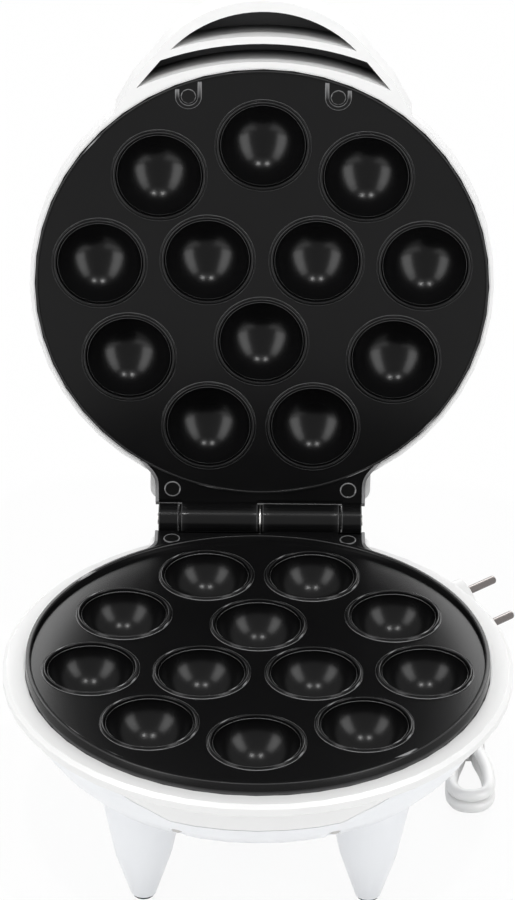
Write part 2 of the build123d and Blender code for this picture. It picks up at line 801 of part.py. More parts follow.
run_points = [
    (0, boot_end.Y, boot_end.Z),
    (0, boot_end.Y + 13.3, boot_end.Z - 13.3),
    (1.5, 139, 8.5),
    (12, 154, cord_height),
    (30, 156, cord_height),
    (48, 143, cord_height),
    (70.8, 114.3, cord_height),
    hank_start,
]
lead_points = [
    hank_end,
    (waist_left, waist_near + 26, low + 26 * lead_slope),
    (82.0, 88.0, low + 4.5),
    (57.8, 91.2, low + 3.5),
    (48.8, 103.2, low + 4.0),
    behind_plug(16),
    behind_plug(0),
]

with BuildPart() as cord_run:
    tube, line = cord_tube("cord_run", run_points)
    add(tube)

with BuildPart() as cord_hank:
    tube, line = cord_tube("cord_hank", hank_points)
    add(tube)
print("cord_hank least gap to itself", round(least_gap(line), 2))

with BuildPart() as cord_lead:
    tube, line = cord_tube("cord_lead", lead_points)
    add(tube)

with BuildPart() as cord_tie:
    across = 2 * waist_half + cord_diameter + 2 * tie_gap
    upright = (hank_loops - 1) * hank_pitch + cord_diameter + 2 * tie_gap + tie_slack
    middle = cord_height + (hank_loops - 1) * hank_pitch / 2 + tie_slack / 2
    tie_end = (waist_near + waist_far + tie_width) / 2
    with BuildSketch(Plane(origin=(hank_middle, tie_end, middle), z_dir=(0, -1, 0))):
        RectangleRounded(across + 2 * tie_sheet, upright + 2 * tie_sheet, cord_diameter / 2)
        RectangleRounded(across, upright, cord_diameter / 2 - tie_sheet, mode=Mode.SUBTRACT)
    extrude(amount=tie_width)

# The plug lies on one edge, rolled about its pins' direction
rolled = radians(plug_roll)
flat_way = Vector(sin(radians(plug_bearing)), -cos(radians(plug_bearing)), 0)
wide_way = flat_way * cos(rolled) - Vector(0, 0, 1) * sin(rolled)


def plug_plane(distance):
    """The plane across the plug at a distance behind its face."""
    return Plane(origin=plug_face - plug_way * distance, x_dir=wide_way, z_dir=plug_way)


def plug_profile(half_front, half_shoulder, half_neck, half_end):
    """Half of the plug's outline seen from one side, from the face back, with its mirror image."""
    shoulder, neck = 0.6 * plug_length, plug_length + plug_neck
    near = [(0, half_front), (-shoulder, half_front), (-plug_length, half_shoulder), (-neck, half_neck)]
    far = [(-neck, half_end), (-neck - plug_boot, half_end)]
    half = near + far
    return half + [(x, -y) for x, y in reversed(half)]


# The plug's body is what its front, plan and side outlines have in common
with BuildPart() as plug_body:
    with BuildSketch(plug_plane(0)) as front:
        Rectangle(plug_width, plug_thickness)
        chamfer(front.vertices(), 0.3 * plug_thickness)
    extrude(amount=-plug_length - plug_neck - plug_boot)
    plan = (plug_width / 2, 0.3 * plug_width, 0.16 * plug_width, 0.33 * plug_thickness)
    side = (plug_thickness / 2, 0.43 * plug_thickness, 0.36 * plug_thickness, 0.33 * plug_thickness)
    for outline, across in ((plan, wide_way), (side, wide_way.cross(plug_way))):
        with BuildSketch(Plane(origin=plug_face, x_dir=plug_way, z_dir=plug_way.cross(across))):
            with BuildLine():
                Polyline(*plug_profile(*outline), close=True)
            make_face()
        extrude(amount=plug_width, both=True, mode=Mode.INTERSECT)

with BuildPart() as plug_pins:
    pin_size, pin_length = contact_pin
    with BuildSketch(plug_plane(0)):
        with Locations((-pin_spread / 2, 0), (pin_spread / 2, 0)):
            RegularPolygon(pin_size, round_sides)
    extrude(amount=pin_length)

lid_pieces = [
    lid_shell,
    handle_liner,
    lid_plate,
    lid_heater,
    lid_heat_shield,
    lid_shield_screws,
    lid_plate_screws,
    lid_hinge_screws,
    lamp_lenses,
]
base_pieces = [
    base_housing,
    base_pan,
    rubber_feet,
    base_plate,
    hinge_pin,
    base_heater,
    base_heat_shield,
    base_shield_screws,
    thermostat,
    thermal_fuse,
    terminal_strip,
    base_hinge_screws,
    pan_screws,
    cord_gland,
    cord_run,
    cord_hank,
    cord_lead,
    cord_tie,
    plug_body,
    plug_pins,
]

# Swing the lid open about the hinge, then set the origin under the middle of the open appliance
to_hinge = Location((0, hinge_reach, hinge_height))
swing = to_hinge * Location((0, 0, 0), (-opening_angle, 0, 0)) * to_hinge.inverse()
for piece in lid_pieces:
    piece.part = swing * piece.part
middle_y = (lid_shell.part.bounding_box().max.Y - flange_radius) / 2
to_middle = Location((0, -middle_y, 0))
for piece in lid_pieces + base_pieces:
    piece.part = to_middle * piece.part
print("hinge axis at y", round(hinge_reach - middle_y, 2), "z", hinge_height)

os.makedirs("parts", exist_ok=True)

lid_shell.part.label = "lid_shell"
export_step(lid_shell.part, "parts/lid_shell.step")

handle_liner.part.label = "handle_liner"
export_step(handle_liner.part, "parts/handle_liner.step")

lid_plate.part.label = "lid_plate"
export_step(lid_plate.part, "parts/lid_plate.step")

lid_heater.part.label = "lid_heater"
export_step(lid_heater.part, "parts/lid_heater.step")

lid_heat_shield.part.label = "lid_heat_shield"
export_step(lid_heat_shield.part, "parts/lid_heat_shield.step")

lid_shield_screws.part.label = "lid_shield_screws"
export_step(lid_shield_screws.part, "parts/lid_shield_screws.step")

lid_plate_screws.part.label = "lid_plate_screws"
export_step(lid_plate_screws.part, "parts/lid_plate_screws.step")

lid_hinge_screws.part.label = "lid_hinge_screws"
export_step(lid_hinge_screws.part, "parts/lid_hinge_screws.step")

lamp_lenses.part.label = "lamp_lenses"
export_step(lamp_lenses.part, "parts/lamp_lenses.step")

base_housing.part.label = "base_housing"
export_step(base_housing.part, "parts/base_housing.step")

base_pan.part.label = "base_pan"
export_step(base_pan.part, "parts/base_pan.step")

rubber_feet.part.label = "rubber_feet"
export_step(rubber_feet.part, "parts/rubber_feet.step")

base_plate.part.label = "base_plate"
export_step(base_plate.part, "parts/base_plate.step")

hinge_pin.part.label = "hinge_pin"
export_step(hinge_pin.part, "parts/hinge_pin.step")

base_heater.part.label = "base_heater"
export_step(base_heater.part, "parts/base_heater.step")

base_heat_shield.part.label = "base_heat_shield"
export_step(base_heat_shield.part, "parts/base_heat_shield.step")

base_shield_screws.part.label = "base_shield_screws"
export_step(base_shield_screws.part, "parts/base_shield_screws.step")

thermostat.part.label = "thermostat"
export_step(thermostat.part, "parts/thermostat.step")

thermal_fuse.part.label = "thermal_fuse"
export_step(thermal_fuse.part, "parts/thermal_fuse.step")

terminal_strip.part.label = "terminal_strip"
export_step(terminal_strip.part, "parts/terminal_strip.step")

base_hinge_screws.part.label = "base_hinge_screws"
export_step(base_hinge_screws.part, "parts/base_hinge_screws.step")

pan_screws.part.label = "pan_screws"
export_step(pan_screws.part, "parts/pan_screws.step")

cord_gland.part.label = "cord_gland"
export_step(cord_gland.part, "parts/cord_gland.step")

cord_run.part.label = "cord_run"
export_step(cord_run.part, "parts/cord_run.step")

cord_hank.part.label = "cord_hank"
export_step(cord_hank.part, "parts/cord_hank.step")

cord_lead.part.label = "cord_lead"
export_step(cord_lead.part, "parts/cord_lead.step")

cord_tie.part.label = "cord_tie"
export_step(cord_tie.part, "parts/cord_tie.step")

plug_body.part.label = "plug_body"
export_step(plug_body.part, "parts/plug_body.step")

plug_pins.part.label = "plug_pins"
export_step(plug_pins.part, "parts/plug_pins.step")
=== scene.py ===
# %% [markdown]
# # A takoyaki maker, finished in Blender
#
# The imported model is the skeleton: every piece at its real size, on the body that it moves with.
# This lesson gives that skeleton its skin. Castings get round cups, mouldings get soft edges,
# the cord gets one smooth line, and each surface gets a finish that could be bought.
# We load the skeleton first. Nothing that we add may grow out of it.

import json
from math import cos, pi, radians, sin, sqrt

import bmesh
import bpy
import numpy as np
from mathutils import Matrix, Vector
from mathutils.geometry import delaunay_2d_cdt

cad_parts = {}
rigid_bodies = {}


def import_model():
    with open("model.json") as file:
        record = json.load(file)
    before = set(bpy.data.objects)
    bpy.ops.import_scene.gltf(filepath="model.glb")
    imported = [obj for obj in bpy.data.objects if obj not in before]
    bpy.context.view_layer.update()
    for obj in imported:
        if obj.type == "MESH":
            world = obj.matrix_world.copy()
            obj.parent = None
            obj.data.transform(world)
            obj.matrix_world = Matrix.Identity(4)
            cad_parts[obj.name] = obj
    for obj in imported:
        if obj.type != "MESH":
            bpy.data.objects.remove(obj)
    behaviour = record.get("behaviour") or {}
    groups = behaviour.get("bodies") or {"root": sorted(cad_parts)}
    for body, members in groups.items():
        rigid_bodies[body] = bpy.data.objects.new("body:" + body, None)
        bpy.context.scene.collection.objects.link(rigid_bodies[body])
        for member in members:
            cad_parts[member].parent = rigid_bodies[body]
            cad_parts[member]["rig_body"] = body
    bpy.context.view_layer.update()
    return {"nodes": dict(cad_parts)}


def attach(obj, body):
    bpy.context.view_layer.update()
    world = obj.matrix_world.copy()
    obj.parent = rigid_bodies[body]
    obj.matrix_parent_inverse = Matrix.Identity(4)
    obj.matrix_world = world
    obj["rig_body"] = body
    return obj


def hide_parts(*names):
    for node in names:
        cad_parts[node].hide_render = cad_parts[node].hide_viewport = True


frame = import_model()

# %% [markdown]
# ## One drawing space
#
# The maker was drawn shut, in millimetres, about the upright axis of its cooking plates.
# Two functions carry such points to where they stand now: one for the base, and one for the lid,
# which has swung open about the hinge. Writing shapes in drawing space keeps their numbers plain.

# %% Drawing space to frame
MM = 0.001
MIDDLE = 30.32  # the drawing's Y of the frame's origin
HINGE = np.array([0.0, 114.4, 92.0])
OPENING = radians(97)
PLATE_FACE = 90.0  # heights of the two cooking faces in the shut maker
LID_FACE = 94.0
RIM_FOOT = 94.3  # lower edge of the lid's shell


def in_base(points):
    """Drawing points of the base in metres: only the origin moves."""
    return (np.asarray(points, float) - (0, MIDDLE, 0)) * MM


def in_lid(points):
    """Drawing points of the shut lid in metres: turned back about the hinge by the opening angle."""
    x, y, z = (np.asarray(points, float) - HINGE).T
    swung = np.stack([x, y * cos(OPENING) + z * sin(OPENING), z * cos(OPENING) - y * sin(OPENING)], axis=-1)
    return in_base(swung + HINGE)


print("the hinge line's place in metres:", in_base(HINGE))

# %% [markdown]
# ## The camera
#
# A product photographer stands well back with a long lens, so that round plates stay round.
# The lens, the place and the three angles below reproduce such a view from above the front.
# A matrix built from the sight line, a sideways and an upward vector leaves nothing to chance.

# %% Camera
FOCAL_PIXELS = 4830.1
FRAME_HEIGHT = 900
SENSOR = 36.0
CAMERA_PLACE = np.array([8.018, -1785.007, 1233.66])
YAW, PITCH, ROLL = radians(-0.284), radians(30.183), radians(0.401)


def camera_axes():
    """The camera's right, up and backward vectors from its yaw, pitch and roll."""
    ahead = Vector((sin(YAW) * cos(PITCH), cos(YAW) * cos(PITCH), -sin(PITCH)))
    level = Vector((cos(YAW), -sin(YAW), 0))
    above = level.cross(ahead)
    right = cos(ROLL) * level + sin(ROLL) * above
    up = cos(ROLL) * above - sin(ROLL) * level
    return right, up, -ahead


camera_data = bpy.data.cameras.new("camera")
camera_data.sensor_fit = "VERTICAL"
camera_data.sensor_height = SENSOR
camera_data.lens = SENSOR * FOCAL_PIXELS / FRAME_HEIGHT
camera_data.clip_end = 20
camera = bpy.data.objects.new("camera", camera_data)
bpy.context.scene.collection.objects.link(camera)
camera.matrix_world = Matrix.Translation(in_base(CAMERA_PLACE)) @ Matrix(camera_axes()).transposed().to_4x4()
bpy.context.scene.camera = camera
print("lens in millimetres:", round(camera_data.lens, 1))

# %% [markdown]
# ## The cord's route
#
# A mains lead has a fixed length, so its line comes before its looks. It drops out of the strain
# relief at the back, runs along the table, lies in a tied hank of two loops beside the base, and
# its last stretch crosses over the first one to the plug. The points below are the control points
# of one smooth curve, which cuts gently inside each corner as a rubbery lead does.

# %% Cord route
CORD = 5.6
PITCH_UP = 6.2  # from one layer of the hank to the next
LYING = 3.8  # height of the lowest layer's middle line
HANK_MIDDLE, HANK_HALF, WAIST_HALF = 96.1, 8.5, 3.4
NEAR_TURN, FAR_TURN = 20.8, 96.0
WAIST_NEAR, WAIST_FAR, WAIST_RUN = 50.0, 62.0, 16.0
HANK_LOOPS = 2
BOOT_END = np.array([0.0, 108.749, 33.751])
LEAD_SLOPE = 2.5 / 21  # how the last stretch climbs as it leaves the tie
LEAVING, CLIMBED = 9.0, 26.0  # how far behind the waist's near end two of its points lie
CORNER_REACH, CORNER_TURN = 14.0, radians(20)  # from the hank's first corner back to the point before it

PLUG_FACE = np.array([101.5, 161.6, 14.6])
PLUG_BEARING = radians(40.4)
PLUG_ROLL = radians(45)
PLUG_BODY = 51.0  # from the face to the end of the plug's own strain relief
PLUG_WAY = np.array([cos(PLUG_BEARING), sin(PLUG_BEARING), 0])


def behind_plug(distance):
    """A point on the plug's axis, that far behind its end."""
    return tuple(PLUG_FACE - PLUG_WAY * (PLUG_BODY + distance))


def hank_points():
    """The hank's points, loop upon loop and drawn in at the waist, and its top layer's height."""
    right, left = HANK_MIDDLE + HANK_HALF, HANK_MIDDLE - HANK_HALF
    waist_right, waist_left = HANK_MIDDLE + WAIST_HALF, HANK_MIDDLE - WAIST_HALF
    corner = (right, FAR_TURN + 0.7 * HANK_HALF, LYING)
    before = (right - CORNER_REACH * cos(CORNER_TURN), corner[1] + CORNER_REACH * sin(CORNER_TURN), LYING)
    points = [before, corner]
    for loop in range(HANK_LOOPS):
        low = LYING + loop * PITCH_UP
        points += [
            (right, WAIST_FAR + WAIST_RUN, low),
            (waist_right, WAIST_FAR, low),
            (waist_right, WAIST_NEAR, low),
            (right, WAIST_NEAR - WAIST_RUN, low),
            (right, NEAR_TURN - HANK_HALF, low),
            (left, NEAR_TURN - HANK_HALF, low),
            (left, WAIST_NEAR - WAIST_RUN, low),
            (waist_left, WAIST_NEAR, low),
        ]
        if loop < HANK_LOOPS - 1:
            points += [
                (waist_left, WAIST_FAR, low),
                (left, WAIST_FAR + WAIST_RUN, low + PITCH_UP / 2),
                (left, FAR_TURN + HANK_HALF, low + PITCH_UP),
                (right, FAR_TURN + HANK_HALF, low + PITCH_UP),
            ]
    return points + [(waist_left, WAIST_NEAR + LEAVING, low + LEAVING * LEAD_SLOPE)], low


loops, top_layer = hank_points()
run_points = [
    tuple(BOOT_END),
    (0, BOOT_END[1] + 13.3, BOOT_END[2] - 13.3),
    (1.5, 139, 8.5),
    (12, 154, LYING),
    (30, 156, LYING),
    (48, 143, LYING),
    (70.8, 114.3, LYING),
]
lead_points = [
    (HANK_MIDDLE - WAIST_HALF, WAIST_NEAR + CLIMBED, top_layer + CLIMBED * LEAD_SLOPE),
    (82.0, 88.0, top_layer + 4.5),
    (57.8, 91.2, top_layer + 3.5),
    (48.8, 103.2, top_layer + 4.0),
    behind_plug(16),
    behind_plug(0),
]
route = in_base(run_points + loops + lead_points)


def cord_curve(name, points, diameter):
    """A round cord along one NURBS spline of order 3 whose control points are the route's points."""
    curve = bpy.data.curves.new(name, "CURVE")
    curve.dimensions = "3D"
    curve.bevel_depth = diameter / 2
    curve.bevel_resolution = 5
    curve.use_fill_caps = True
    spline = curve.splines.new("NURBS")
    spline.points.add(len(points) - 1)
    spline.points.foreach_set("co", np.column_stack([points, np.ones(len(points))]).ravel())
    spline.order_u = 3
    spline.use_endpoint_u = True
    spline.resolution_u = 12
    made = bpy.data.objects.new(name, curve)
    bpy.context.scene.collection.objects.link(made)
    return made


cord = cord_curve("mains_cord", route, CORD * MM)
print("control points of the cord:", len(route))

# %% [markdown]
# ## Finishes: one shared effect
#
# Real plastic and coated metal are never one even colour. A faint mottle in the tone, a grain in
# the gloss and a tiny unevenness of the skin are what the eye takes for a material. All finishes
# here need those three, so they are one node group, placed in each material with its own values.

# %% Shared finish group
GRAIN_HEIGHT = 0.0002  # metres from the grain's valleys to its tops


def calculated(nodes, links, operation, *values):
    """A math node of that operation on sockets and plain numbers; returns its output."""
    node = nodes.new("ShaderNodeMath")
    node.operation = operation
    for socket, value in zip(node.inputs, values):
        if isinstance(value, (int, float)):
            socket.default_value = value
        else:
            links.new(value, socket)
    return node.outputs[0]


def finish_group():
    """A group that turns one colour into a mottled one, with a grainy roughness and a bumpy normal."""
    group = bpy.data.node_groups.new("surface_finish", "ShaderNodeTree")
    made = group.interface.new_socket
    made("Color", in_out="INPUT", socket_type="NodeSocketColor")
    for name, value in (
        ("Mottle", 0.05),
        ("Mottle Scale", 40.0),
        ("Grain Scale", 900.0),
        ("Grain Depth", 0.1),
        ("Roughness", 0.4),
        ("Roughness Spread", 0.1),
    ):
        made(name, in_out="INPUT", socket_type="NodeSocketFloat").default_value = value
    made("Color", in_out="OUTPUT", socket_type="NodeSocketColor")
    made("Roughness", in_out="OUTPUT", socket_type="NodeSocketFloat")
    made("Normal", in_out="OUTPUT", socket_type="NodeSocketVector")
    nodes, links = group.nodes, group.links
    given = nodes.new("NodeGroupInput")
    result = nodes.new("NodeGroupOutput")
    place = nodes.new("ShaderNodeTexCoord")
    cloud = nodes.new("ShaderNodeTexNoise")
    grain = nodes.new("ShaderNodeTexNoise")
    links.new(place.outputs["Object"], cloud.inputs["Vector"])
    links.new(place.outputs["Object"], grain.inputs["Vector"])
    links.new(given.outputs["Mottle Scale"], cloud.inputs["Scale"])
    links.new(given.outputs["Grain Scale"], grain.inputs["Scale"])
    grain.inputs["Detail"].default_value = 4.0
    # A tone that sways about one, by the mottle
    cloudy = calculated(nodes, links, "SUBTRACT", cloud.outputs["Fac"], 0.5)
    sway = calculated(nodes, links, "MULTIPLY_ADD", cloudy, given.outputs["Mottle"], 1.0)
    tone = nodes.new("ShaderNodeVectorMath")
    tone.operation = "SCALE"
    links.new(given.outputs["Color"], tone.inputs[0])
    links.new(sway, tone.inputs["Scale"])
    links.new(tone.outputs[0], result.inputs["Color"])
    # A roughness that follows the grain
    grainy = calculated(nodes, links, "SUBTRACT", grain.outputs["Fac"], 0.5)
    spread, even = given.outputs["Roughness Spread"], given.outputs["Roughness"]
    links.new(calculated(nodes, links, "MULTIPLY_ADD", grainy, spread, even), result.inputs["Roughness"])
    bump = nodes.new("ShaderNodeBump")
    bump.inputs["Distance"].default_value = GRAIN_HEIGHT
    links.new(given.outputs["Grain Depth"], bump.inputs["Strength"])
    links.new(grain.outputs["Fac"], bump.inputs["Height"])
    links.new(bump.outputs["Normal"], result.inputs["Normal"])
    return group


surface_finish = finish_group()
print("inputs of the shared finish:", [item.name for item in surface_finish.interface.items_tree][:7])

# %% [markdown]
# ## Finishes: painted edge highlights
#
# The bright lines along the castings' edges are painted highlights, in a lighter grey than the coat.
# Cycles knows how pointed a surface is at each of its points, and that value, pushed through a
# smooth step, is a mask for such edges. A second colour then takes the coat's place there.

# %% Painted highlight mask
BLUNT, POINTED = 0.515, 0.6  # pointiness where the painted highlight starts, and where it is full


def painted_highlight_group():
    """A mask for painted highlights on a casting's outward edges: 0 where pointiness is blunt, rising to 1
    where it is pointed.
    """
    group = bpy.data.node_groups.new("painted_edge_highlights", "ShaderNodeTree")
    group.interface.new_socket("Mask", in_out="OUTPUT", socket_type="NodeSocketFloat")
    nodes, links = group.nodes, group.links
    shape = nodes.new("ShaderNodeNewGeometry")
    spread = nodes.new("ShaderNodeMapRange")
    spread.interpolation_type = "SMOOTHSTEP"
    spread.inputs["From Min"].default_value = BLUNT
    spread.inputs["From Max"].default_value = POINTED
    result = nodes.new("NodeGroupOutput")
    links.new(shape.outputs["Pointiness"], spread.inputs["Value"])
    links.new(spread.outputs["Result"], result.inputs["Mask"])
    return group


def masked(material, group, color):
    """Mixes a second colour into a finish where a group's mask says so."""
    nodes, links = material.node_tree.nodes, material.node_tree.links
    shader = nodes["Principled BSDF"]
    mask = nodes.new("ShaderNodeGroup")
    mask.node_tree = group
    blend = nodes.new("ShaderNodeMix")
    blend.data_type = "RGBA"
    blend.inputs["B"].default_value = (*color, 1)
    links.new(mask.outputs["Mask"], blend.inputs["Factor"])
    links.new(shader.inputs["Base Color"].links[0].from_socket, blend.inputs["A"])
    links.new(blend.outputs["Result"], shader.inputs["Base Color"])


print("edges brighten from a pointiness of", BLUNT)

# %% [markdown]
# ## Finishes: painted shade in the pockets
#
# The handle is two deep pockets between thin ribs, white at the mouth and dark at the floor, and
# that shade is painted. The shell's material knows its own coordinates, so a little arithmetic turns
# them back into drawing space, asks whether a point lies in a pocket, and how deep, and paints it
# darker the deeper it lies. Walls that lean away from the middle are the handle's outside, and stay white.

# %% Painted pocket shade
POCKET_FRONT, POCKET_BACK, POCKET_SIDE = -130.0, -104.6, 58.0  # the pockets' limits in drawing space
REAR_BOW, FRONT_BOW = 262.0, 140.0  # at x a wall lies x * x / bow further back than in the middle
# depths at which the painted shade begins, and where it is full
POCKET_FOOT, POCKET_BOTTOM = RIM_FOOT + 2.0, RIM_FOOT + 15.5
OUTER_SLOPE = 0.65  # a wall whose normal leans further away from the middle is the handle's outside


def drawn(nodes, links, place, direction, start):
    """A coordinate in drawing millimetres: the place's share along a direction, counted from a start."""
    share = nodes.new("ShaderNodeVectorMath")
    share.operation = "DOT_PRODUCT"
    share.inputs[1].default_value = [part / MM for part in direction]
    links.new(place, share.inputs[0])
    return calculated(nodes, links, "ADD", share.outputs["Value"], start)


def pocket_shade_group():
    """A mask of painted shade in the handle's pockets: 0 at their mouths, rising to 1 at their floors, and 0
    outside them.
    """
    group = bpy.data.node_groups.new("pocket_painted_shade", "ShaderNodeTree")
    group.interface.new_socket("Mask", in_out="OUTPUT", socket_type="NodeSocketFloat")
    nodes, links = group.nodes, group.links
    surface = nodes.new("ShaderNodeTexCoord")
    place = surface.outputs["Object"]
    sideways = nodes.new("ShaderNodeSeparateXYZ")
    links.new(surface.outputs["Normal"], sideways.inputs["Vector"])
    back, down = MIDDLE - HINGE[1], HINGE[2]
    forth = [0, cos(OPENING), -sin(OPENING)]
    deep = [0, sin(OPENING), cos(OPENING)]
    across = drawn(nodes, links, place, (1, 0, 0), 0)
    reach = drawn(nodes, links, place, forth, HINGE[1] + back * cos(OPENING) + down * sin(OPENING))
    depth = drawn(nodes, links, place, deep, HINGE[2] + back * sin(OPENING) - down * cos(OPENING))
    square = calculated(nodes, links, "MULTIPLY", across, across)
    aside = calculated(nodes, links, "ABSOLUTE", across)
    from_rear = calculated(nodes, links, "MULTIPLY_ADD", square, -1 / REAR_BOW, reach)
    from_front = calculated(nodes, links, "MULTIPLY_ADD", square, -1 / FRONT_BOW, reach)
    leaning = calculated(nodes, links, "MULTIPLY", across, sideways.outputs["X"])
    steepest = calculated(nodes, links, "MULTIPLY", aside, OUTER_SLOPE)
    region = calculated(nodes, links, "LESS_THAN", from_rear, POCKET_BACK)
    for test in (
        calculated(nodes, links, "GREATER_THAN", from_front, POCKET_FRONT),
        calculated(nodes, links, "LESS_THAN", aside, POCKET_SIDE),
        calculated(nodes, links, "LESS_THAN", leaning, steepest),
    ):
        region = calculated(nodes, links, "MULTIPLY", region, test)
    rise = nodes.new("ShaderNodeMapRange")
    rise.interpolation_type = "SMOOTHSTEP"
    rise.inputs["From Min"].default_value = POCKET_FOOT
    rise.inputs["From Max"].default_value = POCKET_BOTTOM
    links.new(depth, rise.inputs["Value"])
    result = nodes.new("NodeGroupOutput")
    links.new(calculated(nodes, links, "MULTIPLY", rise.outputs["Result"], region), result.inputs["Mask"])
    return group


print("depth over which a pocket darkens, in millimetres:", POCKET_BOTTOM - POCKET_FOOT)

# %% [markdown]
# ## Finishes: one recipe
#
# Every material is the same recipe with other numbers. What varies over the surface comes from
# the shared group, and what is even, such as how metallic it is, is set on the shader itself.

# %% The recipe
def finish(name, color, roughness, metallic=0.0, specular=0.5, coat=0.0, **texture):
    """A Principled material fed by the shared group; its even values sit on the shader itself."""
    material = bpy.data.materials.new(name)
    material.use_nodes = True
    nodes, links = material.node_tree.nodes, material.node_tree.links
    shader = nodes["Principled BSDF"]
    shader.inputs["Metallic"].default_value = metallic
    shader.inputs["Specular IOR Level"].default_value = specular
    shader.inputs["Coat Weight"].default_value = coat
    shader.inputs["Coat Roughness"].default_value = 0.12
    effect = nodes.new("ShaderNodeGroup")
    effect.node_tree = surface_finish
    effect.inputs["Color"].default_value = (*color, 1)
    effect.inputs["Roughness"].default_value = roughness
    for socket, value in texture.items():
        effect.inputs[socket.replace("_", " ").title()].default_value = value
    links.new(effect.outputs["Color"], shader.inputs["Base Color"])
    links.new(effect.outputs["Roughness"], shader.inputs["Roughness"])
    links.new(effect.outputs["Normal"], shader.inputs["Normal"])
    return material


print("shared effects ready:", sorted(group.name for group in bpy.data.node_groups))

# %% [markdown]
# ## The palette
#
# The housings are white moulded plastic, and the pan below is a touch cooler than they are. The
# plates are die-cast aluminium under a black non-stick coat: dark, satin, with a fine orange-peel
# grain that breaks up reflections. Steel appears only where it is turned or stamped.

# %% Materials
MOULDED = {"coat": 0.1, "mottle": 0.015, "grain_scale": 500, "grain_depth": 0.05}
white_shell = finish("white_shell", (0.86, 0.86, 0.857), 0.3, **MOULDED)
lid_white_painted_shade = white_shell.copy()
lid_white_painted_shade.name = "white_lid_painted_shade"
# painted shade: the lid's copy of the white turns near black towards the floors of the handle's pockets
masked(lid_white_painted_shade, pocket_shade_group(), (0.012, 0.012, 0.012))
white_pan = finish("white_pan", (0.88, 0.895, 0.92), 0.32, **MOULDED)
nonstick = finish("nonstick_coat", (0.0045, 0.0045, 0.0047), 0.22, specular=0.15, mottle=0.3, mottle_scale=60,
                  grain_scale=1500, grain_depth=0.06, roughness_spread=0.08)
# a copy of the coat without the painted highlights, for the bracket's broad slab
plain_coat = nonstick.copy()
plain_coat.name = "nonstick_coat_plain"
# painted highlight: the coat turns light grey along its pointed edges
masked(nonstick, painted_highlight_group(), (0.28, 0.28, 0.284))
dark_screw = finish("blackened_screw", (0.005, 0.005, 0.005), 0.3, specular=0.14, grain_depth=0.1)
turned_steel = finish("turned_steel", (0.5, 0.49, 0.48), 0.3, metallic=1.0, grain_scale=1200, grain_depth=0.1)
plain_steel = finish("plain_steel", (0.55, 0.55, 0.54), 0.38, metallic=1.0, mottle=0.15, grain_depth=0.2)
heater_steel = finish("annealed_tube", (0.22, 0.2, 0.18), 0.5, metallic=1.0, mottle=0.4, mottle_scale=90,
                      grain_depth=0.3)
brown_metal = finish("nickel_pin", (0.18, 0.165, 0.16), 0.25, metallic=1.0, mottle=0.1, grain_depth=0.1)
black_plastic = finish("black_plastic", (0.014, 0.014, 0.015), 0.5, specular=0.3, mottle=0.2, grain_scale=800,
                       grain_depth=0.25)
soft_white = finish("soft_white", (0.86, 0.86, 0.855), 0.45, mottle=0.02, grain_scale=700, grain_depth=0.12)
black_rubber = finish("black_rubber", (0.02, 0.02, 0.021), 0.7, specular=0.3, mottle=0.08, grain_depth=0.3)
red_lens = finish("red_lens", (0.45, 0.03, 0.02), 0.15, coat=0.5, mottle=0.05, grain_depth=0.02)
print("materials:", len(bpy.data.materials))

# %% [markdown]
# ## Surfaces from arrays
#
# Most new pieces are one of two surfaces. A turned one is a profile of radii and heights carried
# round an axis. A swept one is a section carried along a path. Both are grids of points worked
# out at once, so one function that joins a grid into quads serves them all.

# %% Grid helpers
def grid_faces(rows, columns):
    """Quads of a grid whose columns wrap round, each named by its four corners' numbers."""
    start = columns * np.arange(rows - 1)[:, None]
    column = np.arange(columns)
    beside = (column + 1) % columns
    corners = [start + column, start + beside, start + columns + beside, start + columns + column]
    return np.stack(corners, axis=-1).reshape(-1, 4)


def turned(profile, count):
    """Points and quads of a profile (radius, height) turned about Z: x = r cos a, y = r sin a."""
    profile = np.asarray(profile, float)
    angle = np.arange(count) * 2 * pi / count
    radius, height = profile[:, :1], profile[:, 1:]
    points = np.stack([radius * np.cos(angle), radius * np.sin(angle), height + 0 * angle], axis=-1)
    return points.reshape(-1, 3), grid_faces(len(profile), count)


def rounded(corners, radius, steps=4):
    """A polyline whose inner corners are rounded: each becomes a short parabola between its two sides."""
    corners = np.asarray(corners, float)
    radii = np.broadcast_to(radius, len(corners))
    share = np.linspace(0, 1, steps + 1)[:, None]
    rows = [corners[:1]]
    for before, corner, after, reach in zip(corners, corners[1:], corners[2:], radii[1:]):
        start = corner + (before - corner) * min(0.49, reach / np.linalg.norm(before - corner))
        end = corner + (after - corner) * min(0.49, reach / np.linalg.norm(after - corner))
        rows.append((1 - share) ** 2 * start + 2 * share * (1 - share) * corner + share**2 * end)
    return np.vstack(rows + [corners[-1:]])


def swept(path, section):
    """Points and quads of a section carried along a path in XY: p = path + across * s0 + up * s1."""
    path = np.asarray(path, float)
    path = np.column_stack([path, np.zeros(len(path))])
    section = np.asarray(section, float)
    ahead = np.gradient(path, axis=0)
    ahead /= np.linalg.norm(ahead, axis=1, keepdims=True)
    across = np.stack([ahead[:, 1], -ahead[:, 0], 0 * ahead[:, 0]], axis=-1)
    up = np.array([0, 0, 1])
    points = path[:, None] + across[:, None] * section[None, :, :1] + up * section[None, :, 1:]
    return points.reshape(-1, 3), grid_faces(len(path), len(section))


def listed(faces):
    """Faces as plain lists, whether they came as one array or as lists of differing length."""
    return faces.tolist() if isinstance(faces, np.ndarray) else faces


def joined(*parts):
    """Several (points, faces) as one: face numbers are shifted past the points before them."""
    points, faces, start = [], [], 0
    for part_points, part_faces in parts:
        points.append(part_points)
        faces += [[start + corner for corner in face] for face in listed(part_faces)]
        start += len(part_points)
    return np.vstack(points), faces


def moved(part, offset):
    """A (points, faces) pair shifted by an offset."""
    return part[0] + np.asarray(offset, float), part[1]


